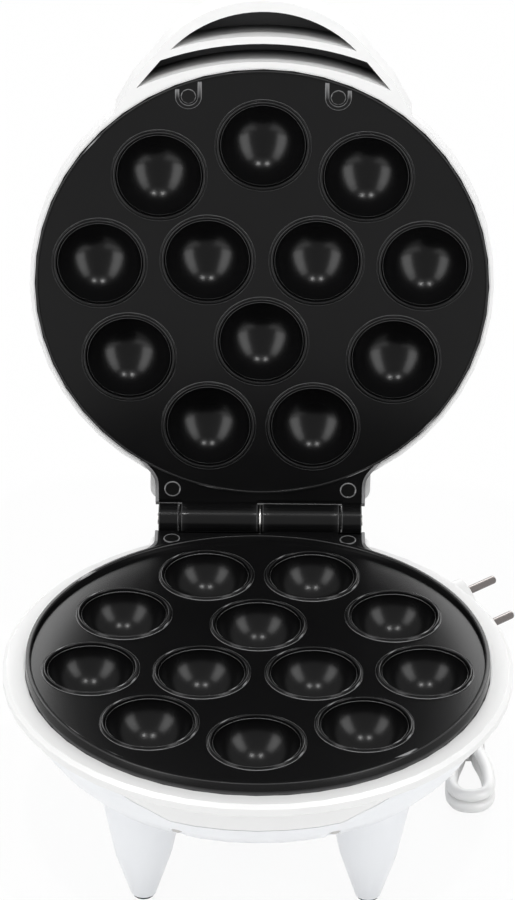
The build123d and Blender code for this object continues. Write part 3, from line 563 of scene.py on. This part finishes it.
print("quads in a grid of 3 rows of 4 points that wrap round:", len(grid_faces(3, 4)))

# %% [markdown]
# A surface becomes a piece in two steps. Its doubled points are merged and its faces turned
# outward. Then it is shaded smooth up to a crease, given its finish and its body, and the solids that it
# replaces are hidden.

# %% From surface to piece
WELD = 2e-6  # metres within which two points are one


def piece(name, part, material, body, replaced=(), crease=40, closed=True):
    """Puts (points, faces) in metres into an object: doubles merged, normals outward, edges creased."""
    points, faces = part
    mesh = bpy.data.meshes.new(name)
    mesh.from_pydata(points.tolist(), [], listed(faces))
    work = bmesh.new()
    work.from_mesh(mesh)
    bmesh.ops.remove_doubles(work, verts=work.verts, dist=WELD)
    bmesh.ops.dissolve_degenerate(work, edges=work.edges, dist=WELD / 2)
    if closed:
        bmesh.ops.holes_fill(work, edges=[edge for edge in work.edges if edge.is_boundary], sides=0)
    bmesh.ops.recalc_face_normals(work, faces=work.faces)
    work.to_mesh(mesh)
    work.free()
    return dressed(name, mesh, material, body, replaced, crease)


def dressed(name, mesh, material, body, replaced, crease):
    """Links a mesh as a piece of a body, smooth but for edges sharper than the crease angle."""
    mesh.shade_smooth()
    mesh.set_sharp_from_angle(angle=radians(crease))
    mesh.materials.clear()
    mesh.materials.append(material)
    made = bpy.data.objects.new(name, mesh)
    bpy.context.scene.collection.objects.link(made)
    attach(made, body)
    if replaced:
        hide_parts(*replaced)
    return made


# %% [markdown]
# ## Mouldings
#
# The housings' solids already have the right outline, with many flat facets round their curves.
# A mould maker would break every edge, so each gets a copy whose flat facets are merged, whose
# shallow folds shade as one curve, and whose edges are softened by a small bevel.

# %% Softened copies of the mouldings
SAME_POINT = 1e-5  # metres within which two points of a solid are one
SAME_PLANE = radians(0.6)  # a flatter fold than this is no edge at all
FOLD = 32  # degrees: a sharper fold is an edge to break, and a shallower one is part of a curve


def softened(node, material, width):
    """A welded copy of a node with a small bevel, so many millimetres wide, on every sharp edge."""
    source = frame["nodes"][node]
    mesh = source.data.copy()
    work = bmesh.new()
    work.from_mesh(mesh)
    bmesh.ops.remove_doubles(work, verts=work.verts, dist=SAME_POINT)
    bmesh.ops.dissolve_limit(work, verts=work.verts, edges=work.edges, angle_limit=SAME_PLANE)
    work.to_mesh(mesh)
    work.free()
    made = dressed(node + "_moulding", mesh, material, source["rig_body"], (node,), FOLD)
    bevel = made.modifiers.new("soft_edges", "BEVEL")
    bevel.width = width * MM
    bevel.segments = 3
    bevel.limit_method = "ANGLE"
    bevel.angle_limit = radians(FOLD)
    print(made.name, "faces:", len(mesh.polygons))


softened("base_housing", white_shell, 0.5)
softened("base_pan", white_pan, 0.4)
softened("lid_shell", lid_white_painted_shade, 0.5)
# the handle's black liner sits at the floors of its pockets, and it also stands in for their deep shade
softened("handle_liner", black_plastic, 0.2)
softened("cord_tie", soft_white, 0.3)
softened("rubber_feet", black_rubber, 0.4)

# %% [markdown]
# ## The cooking plates
#
# This is the part that people look at. A plate is one die casting: a flat web, twelve half-round
# bowls each with a raised bead round its mouth, and a lip round the rim. We cut twelve holes in a
# flat web by triangulating between circles, turn a bead-and-bowl profile for each hole, and weld
# them at the circle that they share. Solidify then gives the whole sheet a casting's thickness.

# %% Cup profile
CUP, CUP_DEPTH = 19.6, 18.4  # radius at the mouth, and depth below the bead's inner edge
BEAD_HEIGHT, BEAD_WIDTH = 1.1, 1.3
BEAD_FOOT = CUP + BEAD_WIDTH + 0.9
BEAD_FALL = 0.5  # from the bead's crown to where the bowl begins
CUP_ROUND = 72  # points round a cup
OUTER_CUPS = [(66.7, 0.0), (69.7, 41.5), (73.7, 82.1), (69.5, 120.5), (72.6, 160.9)]  # radius, bearing
INNER_CUPS = [(27.3, 63.8), (27.1, 180.0)]


def cup_places():
    """Cup middles from radii and bearings counted from the front, with their mirror images."""
    radius, bearing = np.array(OUTER_CUPS + INNER_CUPS).T
    x, y = radius * np.sin(np.radians(bearing)), -radius * np.cos(np.radians(bearing))
    beside = np.abs(x) > 0.01
    return np.vstack([np.column_stack([x, y]), np.column_stack([-x[beside], y[beside]])])


def cup_profile():
    """From the bead's foot over its crown and down the bowl: a rounded line, then a quarter ellipse."""
    outside = [(BEAD_FOOT, 0), (CUP + BEAD_WIDTH, 0), (CUP + 0.95, BEAD_HEIGHT)]
    inside = [(CUP + 0.15, BEAD_HEIGHT), (CUP, BEAD_HEIGHT - BEAD_FALL)]
    bead = rounded(outside + inside, 0.42)
    fall = np.radians(np.linspace(3, 90, 26))
    bowl = np.column_stack([CUP * np.cos(fall), BEAD_HEIGHT - BEAD_FALL - CUP_DEPTH * np.sin(fall)])
    return np.vstack([bead, bowl])


print("cups:", len(cup_places()), "points in a cup's profile:", len(cup_profile()))

# %% [markdown]
# The web between the cups is plain, so plain triangles do. They are found between the circles,
# and those that fall inside a cup or outside the rim are thrown away by where their middles lie.

# %% Web and rim
PLATE = 102.0
SKIRT = 6.0
BASE_LIP = (2.6, 2.3)  # width and height
LID_LIP = (1.4, 0.9)
RIM_ROUND = 192  # points round the rim


def circle(middle, radius, count):
    """Points round a circle in the plane."""
    angle = np.arange(count) * 2 * pi / count
    return np.column_stack([middle[0] + radius * np.cos(angle), middle[1] + radius * np.sin(angle)])


def web(places, inside, count):
    """Triangles between the rim's inner circle and the beads' feet, all at height 0."""
    rings = [circle((0, 0), inside, count)] + [circle(place, BEAD_FOOT, CUP_ROUND) for place in places]
    flat = np.vstack(rings)
    edges, start = [], 0
    for ring in rings:
        index = start + np.arange(len(ring))
        edges += np.column_stack([index, np.roll(index, -1)]).tolist()
        start += len(ring)
    found = delaunay_2d_cdt([Vector(p) for p in flat], edges, [], 0, 1e-5)
    points = np.array([tuple(p) for p in found[0]])
    faces = np.array([face for face in found[2] if len(face) == 3])
    middles = points[faces].mean(axis=1)
    gaps = np.linalg.norm(middles[:, None] - places[None], axis=-1).min(axis=1)
    kept = faces[(gaps > BEAD_FOOT * cos(pi / CUP_ROUND)) & (np.linalg.norm(middles, axis=1) < inside)]
    return np.column_stack([points, 0 * points[:, 0]]), kept


def plate_sheet(lip):
    """The casting's upper sheet in drawing space about the origin: web, cups, lip and skirt."""
    width, height = lip
    inside = PLATE - width
    places = cup_places()
    cup = turned(cup_profile(), CUP_ROUND)
    lip_line = [(inside, 0), (inside + 0.25, height), (PLATE - 0.3, height), (PLATE, -1), (PLATE, -SKIRT)]
    rim = rounded(lip_line, 0.5)
    cups = [moved(cup, (*place, 0)) for place in places]
    return joined(web(places, inside, RIM_ROUND), turned(rim, RIM_ROUND), *cups)


print("points in one plate's sheet:", len(plate_sheet(BASE_LIP)[0]))

# %% [markdown]
# ## Hinge bracket, knuckles and pin
#
# Behind the rim each plate grows into a flat bracket that ends in knuckles. The two plates'
# knuckles share one axis in turn: a short one, then a long one. They are turned about the hinge
# line with worn, rounded ends, and a tongue joins each to its bracket.

# %% Bracket
BARREL = 7.2
BRACKET_HALF, BRACKET_WEB = 48.0, 4.0
BRACKET_TOP = -0.02  # a hair below the web, so that the two faces never fight
FLARE, FLARE_REACH = 55.5, 85.0
NECK_REACH = FLARE_REACH + 1.3 * (FLARE - BRACKET_HALF)
RELIEF = HINGE[1] - BARREL - 0.7
AXIS_HEIGHT = 2.0  # of the hinge line over either cooking face


def slab(outline, low, high):
    """An upright wall round a plane outline, closed by a face at each end."""
    count = len(outline)
    ends = [np.column_stack([outline, np.full(count, height)]) for height in (low, high)]
    caps = [list(range(count)), list(range(count, 2 * count))]
    return np.vstack(ends), grid_faces(2, count).tolist() + caps


def bracket():
    """The bracket as a slab below the web's face: an arc inside the rim, a flare and straight sides."""
    half = rounded([(FLARE, FLARE_REACH), (BRACKET_HALF, NECK_REACH), (BRACKET_HALF, RELIEF)], 4)
    reach = np.arctan2(FLARE, FLARE_REACH)
    bearing = np.linspace(-reach, reach, 24)[1:-1]
    arc = (PLATE - 0.6) * np.column_stack([np.sin(bearing), np.cos(bearing)])
    return slab(np.vstack([half, half[::-1] * (-1, 1), arc]), -BRACKET_WEB, BRACKET_TOP)


def scoop(near, far):
    """The bracket's hollow edge, which follows the other casting's barrel at a hair's breadth."""
    radius = BARREL + 0.3
    top, low = (np.arcsin((AXIS_HEIGHT - height) / radius) for height in (BRACKET_TOP, -BRACKET_WEB))
    fall = np.linspace(top, low, 8)
    hollow = np.column_stack([HINGE[1] - radius * np.cos(fall), AXIS_HEIGHT - radius * np.sin(fall)])
    outline = np.vstack([[(RELIEF - 1, BRACKET_TOP)], hollow, [(RELIEF - 1, -BRACKET_WEB)]])
    points, faces = slab(outline, near, far)
    return points[:, [2, 0, 1]], faces


print("points in the bracket:", len(bracket()[0]))

# %% [markdown]
# A knuckle is a barrel bored for the pin. The long one and the short one of each casting leave
# room for the other casting's pair. A slimmer collar at each end of the long one closes the gap.

# %% Knuckles
PIN = 2.5
LONG_KNUCKLE = (1.1, 36.1)
SHORT_KNUCKLE = (37.3, 46.5)
OTHER_SIDE = (-SHORT_KNUCKLE[1], -SHORT_KNUCKLE[0])  # a casting's short knuckle is on its other half
COLLAR = 6.8
BORE = PIN + 0.5


def barrel(radius, near, far, soft):
    """A barrel along X with rounded ends, turned from a profile of radii and distances."""
    inset = 0.15 * (far - near)
    line = [(BORE, near), *[(radius, at) for at in (near, near + inset, far - inset, far)], (BORE, far)]
    points, faces = turned(rounded(line, soft), 48)
    return points[:, [2, 0, 1]] + (0, HINGE[1], AXIS_HEIGHT), faces


def tongue(near, far):
    """The block that joins a knuckle to its bracket."""
    front, back = RELIEF - 1.5, HINGE[1] - 1
    outline = np.array([(near + 0.2, front), (far - 0.2, front), (far - 0.2, back), (near + 0.2, back)])
    return slab(outline, -BRACKET_WEB, -0.3)


def hinge_side():
    """Bracket, tongues, the hollows that face the other knuckles, and collars that close the gaps."""
    long_end = LONG_KNUCKLE[1]
    edges = [(-BRACKET_HALF, 0.3 + OTHER_SIDE[0]), (OTHER_SIDE[1] - 0.3, 1.4), (long_end - 0.3, BRACKET_HALF)]
    scoops = [scoop(*edge) for edge in edges]
    collars = [barrel(COLLAR, 0.35, 3, 0.1), barrel(COLLAR, long_end - 2, long_end + 1.05, 0.1)]
    return joined(bracket(), tongue(*LONG_KNUCKLE), tongue(*OTHER_SIDE), *scoops, *collars)


print("faces on the hinge side of a casting:", len(hinge_side()[1]))

# %% [markdown]
# Thin ridges stand on the castings: a rail along each side of the bracket, a ring round each
# screw, and on the lid two U-shaped pads. Each is a small section carried along a line.

# %% Raised trim
HINGE_SCREW = (40.2, 100.2)
PAD, PAD_HALF = (33.2, -89.5), 5.0
HALF_RIDGE = [(-0.9, -0.4), (-0.9, 0.45), (-0.7, 0.65), (-0.45, 0.68)]
RIDGE = HALF_RIDGE + [(-across, up) for across, up in reversed(HALF_RIDGE)]
RAIL = [(-0.7, -0.4), (-0.7, 0.4), (-0.5, 0.6), (0.5, 0.6), (0.7, 0.4), (0.7, -0.4)]


def strip(path, section):
    """A swept section with both of its ends closed."""
    points, faces = swept(path, section)
    ends = [list(range(len(section))), list(range(len(points) - len(section), len(points)))]
    return points, listed(faces) + ends


def rails():
    """A raised edge along each side of the bracket."""
    inset = BRACKET_HALF - 0.8
    side = rounded([(FLARE - 1.4, FLARE_REACH + 1), (inset, NECK_REACH), (inset, RELIEF)], 4)
    return joined(strip(side, RAIL), strip(side * (-1, 1), RAIL))


def ring(middle, radius):
    """A thin raised ring round a screw."""
    profile = [(radius, -0.4), (radius, 0.22), (radius + 0.15, 0.36), (radius + 0.5, 0.36),
               (radius + 0.65, 0.22), (radius + 0.65, -0.4)]
    points, faces = turned(profile, 40)
    return moved((points, faces), (*middle, 0))


def pad(x, y):
    """A U-shaped ridge, open towards the rim, round the ring of a plate screw."""
    bend = np.linspace(pi, 0, 17)
    bow = np.column_stack([x + PAD_HALF * np.cos(bend), y + PAD_HALF * np.sin(bend)])
    feet = [(side, -sqrt((PLATE - 1.6) ** 2 - side**2)) for side in (x - PAD_HALF, x + PAD_HALF)]
    return joined(strip(np.vstack([feet[:1], bow, feet[1:]]), RIDGE), ring((x, y), 2.7))


def hinge_trim():
    """The knuckles, the rails and the screw rings, whose edges get painted highlights."""
    rings = [ring((side * HINGE_SCREW[0], HINGE_SCREW[1]), 3.1) for side in (-1, 1)]
    return joined(barrel(BARREL, *LONG_KNUCKLE, 0.6), barrel(BARREL, *OTHER_SIDE, 0.6), rails(), *rings)


print("faces in the raised trim of a hinge side:", len(hinge_trim()[1]))

# %% [markdown]
# Both castings are drawn face up about the origin. One is lifted to the base's height. The other
# is turned over, so that its cups meet the first one's when the lid is shut, and swings with it.

# %% Cast plates
CASTING_WALL = 2.0


def casting_to_base(points):
    """A casting's own points, face up about the origin, to the base plate's place."""
    return in_base(points + (0, 0, PLATE_FACE))


def casting_to_lid(points):
    """The same for the lid's plate, which lies face down in the shut lid."""
    return in_lid(points * (-1, 1, -1) + (0, 0, LID_FACE))


def cast_plate(name, lip, place, body, replaced):
    """One cooking plate: a thickened sheet, and the solid hinge side as a second piece of it."""
    points, faces = plate_sheet(lip)
    sheet = piece(name, (place(points), faces), nonstick, body, replaced, crease=35, closed=False)
    wall = sheet.modifiers.new("casting_wall", "SOLIDIFY")
    wall.thickness = CASTING_WALL * MM
    wall.offset = -1
    for part, shape, coat in (("_bracket", hinge_side(), plain_coat), ("_knuckles", hinge_trim(), nonstick)):
        piece(name + part, (place(shape[0]), shape[1]), coat, body, crease=35)
    print(name, "faces:", len(sheet.data.polygons))


cast_plate("lower_plate", BASE_LIP, casting_to_base, "base", ("base_plate",))
cast_plate("upper_plate", LID_LIP, casting_to_lid, "lid", ("lid_plate",))
points, faces = joined(pad(*PAD), pad(-PAD[0], PAD[1]))
piece("upper_plate_pads", (casting_to_lid(points), faces), nonstick, "lid", crease=35)
print("points in the two pads:", len(points))

# %% [markdown]
# The pin is one bar through all the knuckles. A thin washer in its middle keeps the two long
# knuckles apart and fills the gap between them, so both belong to one turned profile.

# %% Hinge pin
WASHER_HALF = 0.35
pin_half = SHORT_KNUCKLE[1] + 0.5
washer = [(PIN, -WASHER_HALF), (COLLAR, -WASHER_HALF), (COLLAR, WASHER_HALF), (PIN, WASHER_HALF)]
pin_profile = rounded([(0, -pin_half), (PIN, -pin_half), *washer, (PIN, pin_half), (0, pin_half)], 0.2)
points, faces = turned(pin_profile, 32)
pin_points = points[:, [2, 0, 1]] + HINGE
piece("hinge_axle", (in_base(pin_points), faces), turned_steel, "base", ("hinge_pin",))
print("length of the hinge pin in millimetres:", 2 * pin_half)

# %% [markdown]
# ## The plug
#
# A moulded plug is a flat, soft-edged bar that narrows to its cord. Its section is a superellipse,
# a rectangle whose corners melt into its sides, and stations along the axis say how wide, how
# thick and how square it is there. With equal sides and the power 2 the same surface is round,
# so it also makes the two contacts, and the ringed tail that lets the cord bend a little.

# %% Plug
SECTION_ROUND = 48  # points round a section
NECK_END = 41.0
CONTACT_SPREAD, CONTACT_RADIUS, CONTACT_LENGTH = 18.8, 2.0, 19.0


def lofted(stations, start, back, wide_way):
    """Sections along an axis: across = a |cos t|^(2/n) and up = b |sin t|^(2/n), each with its sign."""
    distance, wide, thick, power = (column[:, None] for column in np.asarray(stations, float).T)
    turn = np.arange(SECTION_ROUND) * 2 * pi / SECTION_ROUND
    across = wide * np.sign(np.cos(turn)) * np.abs(np.cos(turn)) ** (2 / power)
    up = thick * np.sign(np.sin(turn)) * np.abs(np.sin(turn)) ** (2 / power)
    up_way = np.cross(back, wide_way)
    points = start + distance[..., None] * back + across[..., None] * wide_way + up[..., None] * up_way
    return points.reshape(-1, 3), grid_faces(len(stations), SECTION_ROUND)


def round_stations(profile):
    """Stations of a round piece from its (distance, radius) profile."""
    distance, radius = np.asarray(profile, float).T
    return np.column_stack([distance, radius, radius, 2 + 0 * distance])


def ribbed(start, end, first, last, cut, count):
    """A ribbed sleeve's (distance, radius) profile: rings that taper evenly, with a groove after each."""
    at = np.repeat(np.linspace(start, end, 2 * count + 1), 2)[1:-1]
    ring_radius = np.linspace(first, last, count)
    radius = np.column_stack([ring_radius, ring_radius, ring_radius - cut, ring_radius - cut]).ravel()
    return np.column_stack([at, radius])


flat_way = np.array([sin(PLUG_BEARING), -cos(PLUG_BEARING), 0])
plug_wide = flat_way * cos(PLUG_ROLL) - np.array([0, 0, sin(PLUG_ROLL)])
# Each station of the moulding: distance behind the face, half width, half thickness, squareness
moulding = rounded([(0, 14.7, 4.5, 3.4), (0, 16.5, 6.3, 3.4), (16.8, 16.5, 6.3, 3.4), (28, 9.9, 5.42, 3.0),
                    (NECK_END - 1.2, 5.1, 4.5, 2.2), (NECK_END, 4.2, 4.1, 2.0)], (0, 1.5, 5, 5, 0.8, 0))
plug_sleeve = round_stations(rounded(ribbed(NECK_END, PLUG_BODY, 4.1, 3.7, 0.55, 4), 0.25, 2))
plug_points, faces = lofted(np.vstack([moulding, plug_sleeve]), PLUG_FACE, -PLUG_WAY, plug_wide)
plug_part = (in_base(plug_points), faces)
piece("plug_moulding", plug_part, soft_white, "base", ("plug_body",), crease=50)

tip = rounded([(2, CONTACT_RADIUS), (-CONTACT_LENGTH, CONTACT_RADIUS), (-CONTACT_LENGTH, 0.4)], 1.2, 6)
roots = [PLUG_FACE + side * CONTACT_SPREAD / 2 * plug_wide for side in (-1, 1)]
contact_points, faces = joined(*[lofted(round_stations(tip), root, -PLUG_WAY, plug_wide) for root in roots])
contact_part = (in_base(contact_points), faces)
piece("plug_contacts", contact_part, brown_metal, "base", ("plug_pins",))
print("points of plug and contacts:", len(plug_points), len(contact_points))

# %% [markdown]
# Where the cord leaves the pan, the same surface makes its sleeve: a stub inside the wall, a
# flange that rests on the pan, and six rings that grow thinner towards the cord.

# %% Strain relief
SLEEVE_LENGTH, SLEEVE_INSIDE = 24.0, 8.8
STUB, FLANGE = 4.85, 7.55  # radii
sleeve_way = np.array([0, sqrt(0.5), -sqrt(0.5)])
land = BOOT_END - SLEEVE_LENGTH * sleeve_way
stub = [(-SLEEVE_INSIDE, STUB - 0.85), (-SLEEVE_INSIDE, STUB), (0, STUB)]
flange = rounded([*stub, (0, FLANGE), (2, FLANGE), (2.2, 5.0)], 0.4)
sleeve = np.vstack([flange, rounded(ribbed(3.4, SLEEVE_LENGTH, STUB, 3.75, 0.6, 6), 0.3, 2)])
sleeve_points, faces = lofted(round_stations(sleeve), land, sleeve_way, np.array([1.0, 0, 0]))
sleeve_part = (in_base(sleeve_points), faces)
piece("cord_sleeve", sleeve_part, soft_white, "base", ("cord_gland",), crease=50)
print("points of the sleeve:", len(sleeve_points))

# %% [markdown]
# Two small lenses on the dome tell that the heat is on. A lens is a stubby rod whose outer end is
# domed, so that it catches a spot of light: a turned profile again, placed as the lid is.

# %% Lamp lenses
DOME_TOP = 132.5
LENS, LENS_DEPTH, LENS_DOME = 4.0, 4.8, 1.0
LENS_PLACES = [(side * 13.0, -70.0) for side in (-1, 1)]
cap = np.linspace(0, pi / 2, 9)
crown = np.column_stack([LENS * np.sin(cap), LENS_DOME * (np.cos(cap) - 1)])
lens = turned(np.vstack([crown, [(LENS, -LENS_DEPTH), (0, -LENS_DEPTH)]]), 48)
points, faces = joined(*[moved(lens, (*place, DOME_TOP)) for place in LENS_PLACES])
piece("ready_lamps", (in_lid(points), faces), red_lens, "lid", ("lamp_lenses",))
print("points of the lenses:", len(points))

# %% [markdown]
# ## Plain pieces
#
# The pieces inside the housings are seen only through gaps, if at all, and the screws are small.
# Their solids are right as they are, and each takes a finish that tells what it is made of.

# %% Finishes for the solids that stay
STAYING = {
    plain_steel: ["base_heat_shield", "lid_heat_shield", "thermostat", "thermal_fuse"],
    heater_steel: ["base_heater", "lid_heater"],
    dark_screw: ["base_hinge_screws", "lid_hinge_screws", "lid_plate_screws"],
    turned_steel: ["base_shield_screws", "lid_shield_screws", "pan_screws"],
    black_plastic: ["terminal_strip"],
}
for material, names in STAYING.items():
    for name in names:
        mesh = frame["nodes"][name].data
        mesh.materials.clear()
        mesh.materials.append(material)
print("solids that keep their shape:", sum(map(len, STAYING.values())))

# %% [markdown]
# The cord was drawn first. Now that its plug, sleeve and tie exist, it takes its finish and joins
# the base, and the solids that stood for it are hidden.

# %% The cord finished
cord.data.materials.append(soft_white)
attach(cord, "base")
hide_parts("cord_run", "cord_hank", "cord_lead")
print("the cord leaves the sleeve at:", np.round(route[0], 4))

# %% [markdown]
# ## Floor and light
#
# A catalogue picture is shot on white paper that runs out of sight. Floor and world look clean
# white to the camera and in reflections, while the light that they give stays at a plain level.
# Two upright soft boxes in front leave the pair of soft bars in every bowl, a broad one behind
# gives the outer web its sheen, and two small lamps overhead leave the pair of sparks.

# %% Floor and world
AMBIENT = 0.6  # light from all round, where 1 is white
SEEN_WHITE = 0.96  # the world's white where it is seen
PAPER_SHARE = 0.92  # how much of the paper shows its own white
PAPER = (0.86, 0.86, 0.86, 1)  # what it gives back of the light that falls on it


def seen_directly(nodes, links):
    """A mask that is 1 for camera, glossy and transmission rays, the ones that show a backdrop as such."""
    rays = nodes.new("ShaderNodeLightPath").outputs
    mirrored = calculated(nodes, links, "MAXIMUM", rays["Is Camera Ray"], rays["Is Glossy Ray"])
    return calculated(nodes, links, "MAXIMUM", mirrored, rays["Is Transmission Ray"])


def paper():
    """White paper: its own white where it is seen or mirrored, and for the rest lit, so shadows stay."""
    material = bpy.data.materials.new("white_paper")
    material.use_nodes = True
    nodes, links = material.node_tree.nodes, material.node_tree.links
    lit = nodes["Principled BSDF"]
    lit.inputs["Base Color"].default_value = PAPER
    lit.inputs["Roughness"].default_value = 0.9
    glow = nodes.new("ShaderNodeEmission")
    mix = nodes.new("ShaderNodeMixShader")
    seen = seen_directly(nodes, links)
    links.new(calculated(nodes, links, "MULTIPLY", seen, PAPER_SHARE), mix.inputs["Fac"])
    links.new(lit.outputs[0], mix.inputs[1])
    links.new(glow.outputs[0], mix.inputs[2])
    links.new(mix.outputs[0], nodes["Material Output"].inputs["Surface"])
    return material


REACH = 4.0  # of the floor each way, in metres
floor_mesh = bpy.data.meshes.new("floor")
corners = [(-REACH, -REACH, 0), (REACH, -REACH, 0), (REACH, REACH, 0), (-REACH, REACH, 0)]
floor_mesh.from_pydata(corners, [], [(0, 1, 2, 3)])
floor_mesh.materials.append(paper())
floor = bpy.data.objects.new("floor", floor_mesh)
bpy.context.scene.collection.objects.link(floor)

world = bpy.data.worlds.new("studio")
bpy.context.scene.world = world
world.use_nodes = True
sky, wires = world.node_tree.nodes, world.node_tree.links
level = calculated(sky, wires, "MULTIPLY_ADD", seen_directly(sky, wires), SEEN_WHITE - AMBIENT, AMBIENT)
wires.new(level, sky["Background"].inputs["Strength"])
sky["Background"].inputs["Color"].default_value = (1, 1, 1, 1)
print("light from all round, where 1 is white:", AMBIENT)

# %% [markdown]
# The lamps' places were found with a simple rule: a bowl mirrors its surroundings like a ball
# seen from within, so a streak that far from its middle stands for a lamp in one direction only.
# Cards that show in gloss alone lengthen the streaks without washing out the plastic.

# %% Lamps
AIM = (0, 0.05, 0.15)  # between the two plates


def soft_box(name, place, aim, size, radiance):
    """A rectangular lamp at a place, facing an aim, both in metres, with an even radiance (1 is white)."""
    data = bpy.data.lights.new(name, "AREA")
    data.shape = "RECTANGLE"
    data.size, data.size_y = size
    data.energy = radiance * pi * size[0] * size[1]
    lamp = bpy.data.objects.new(name, data)
    bpy.context.scene.collection.objects.link(lamp)
    way = Vector(aim) - Vector(place)
    lamp.matrix_world = Matrix.Translation(place) @ way.to_track_quat("-Z", "Y").to_matrix().to_4x4()
    return lamp


def card(name, place, aim, size, radiance):
    """A bright card hung for its reflection: it shows in gloss, and neither lights nor is seen."""
    lamp = soft_box(name, place, aim, size, radiance)
    lamp.visible_diffuse = False
    lamp.visible_camera = False


for side, name in ((-1, "left"), (1, "right")):
    soft_box(name + "_box", (side * 0.7, -0.56, 0.42), AIM, (0.34, 0.84), 1.6)
    card(name + "_card", (side * 0.76, -0.6, 0.72), (0, 0.05, 0.72), (0.46, 1.4), 5.2)
    card(name + "_low_card", (side * 0.4, -0.42, 0.003), (side * 0.4, -0.42, 1), (0.44, 0.36), 2.2)
    soft_box(name + "_spark", (side * 0.25 + 0.01, -0.36, 1.5), AIM, (0.05, 0.05), 500)
card("rear_card", (0, 1.15, 0.7), (0, 0, 0.1), (2.8, 0.6), 3.5)
soft_box("rear_box", (0, 1.2, 0.8), (0, 0, 0.1), (1.6, 0.5), 1.8)
bpy.context.scene.view_settings.view_transform = "Standard"
print("lamps and cards:", len(bpy.data.lights))
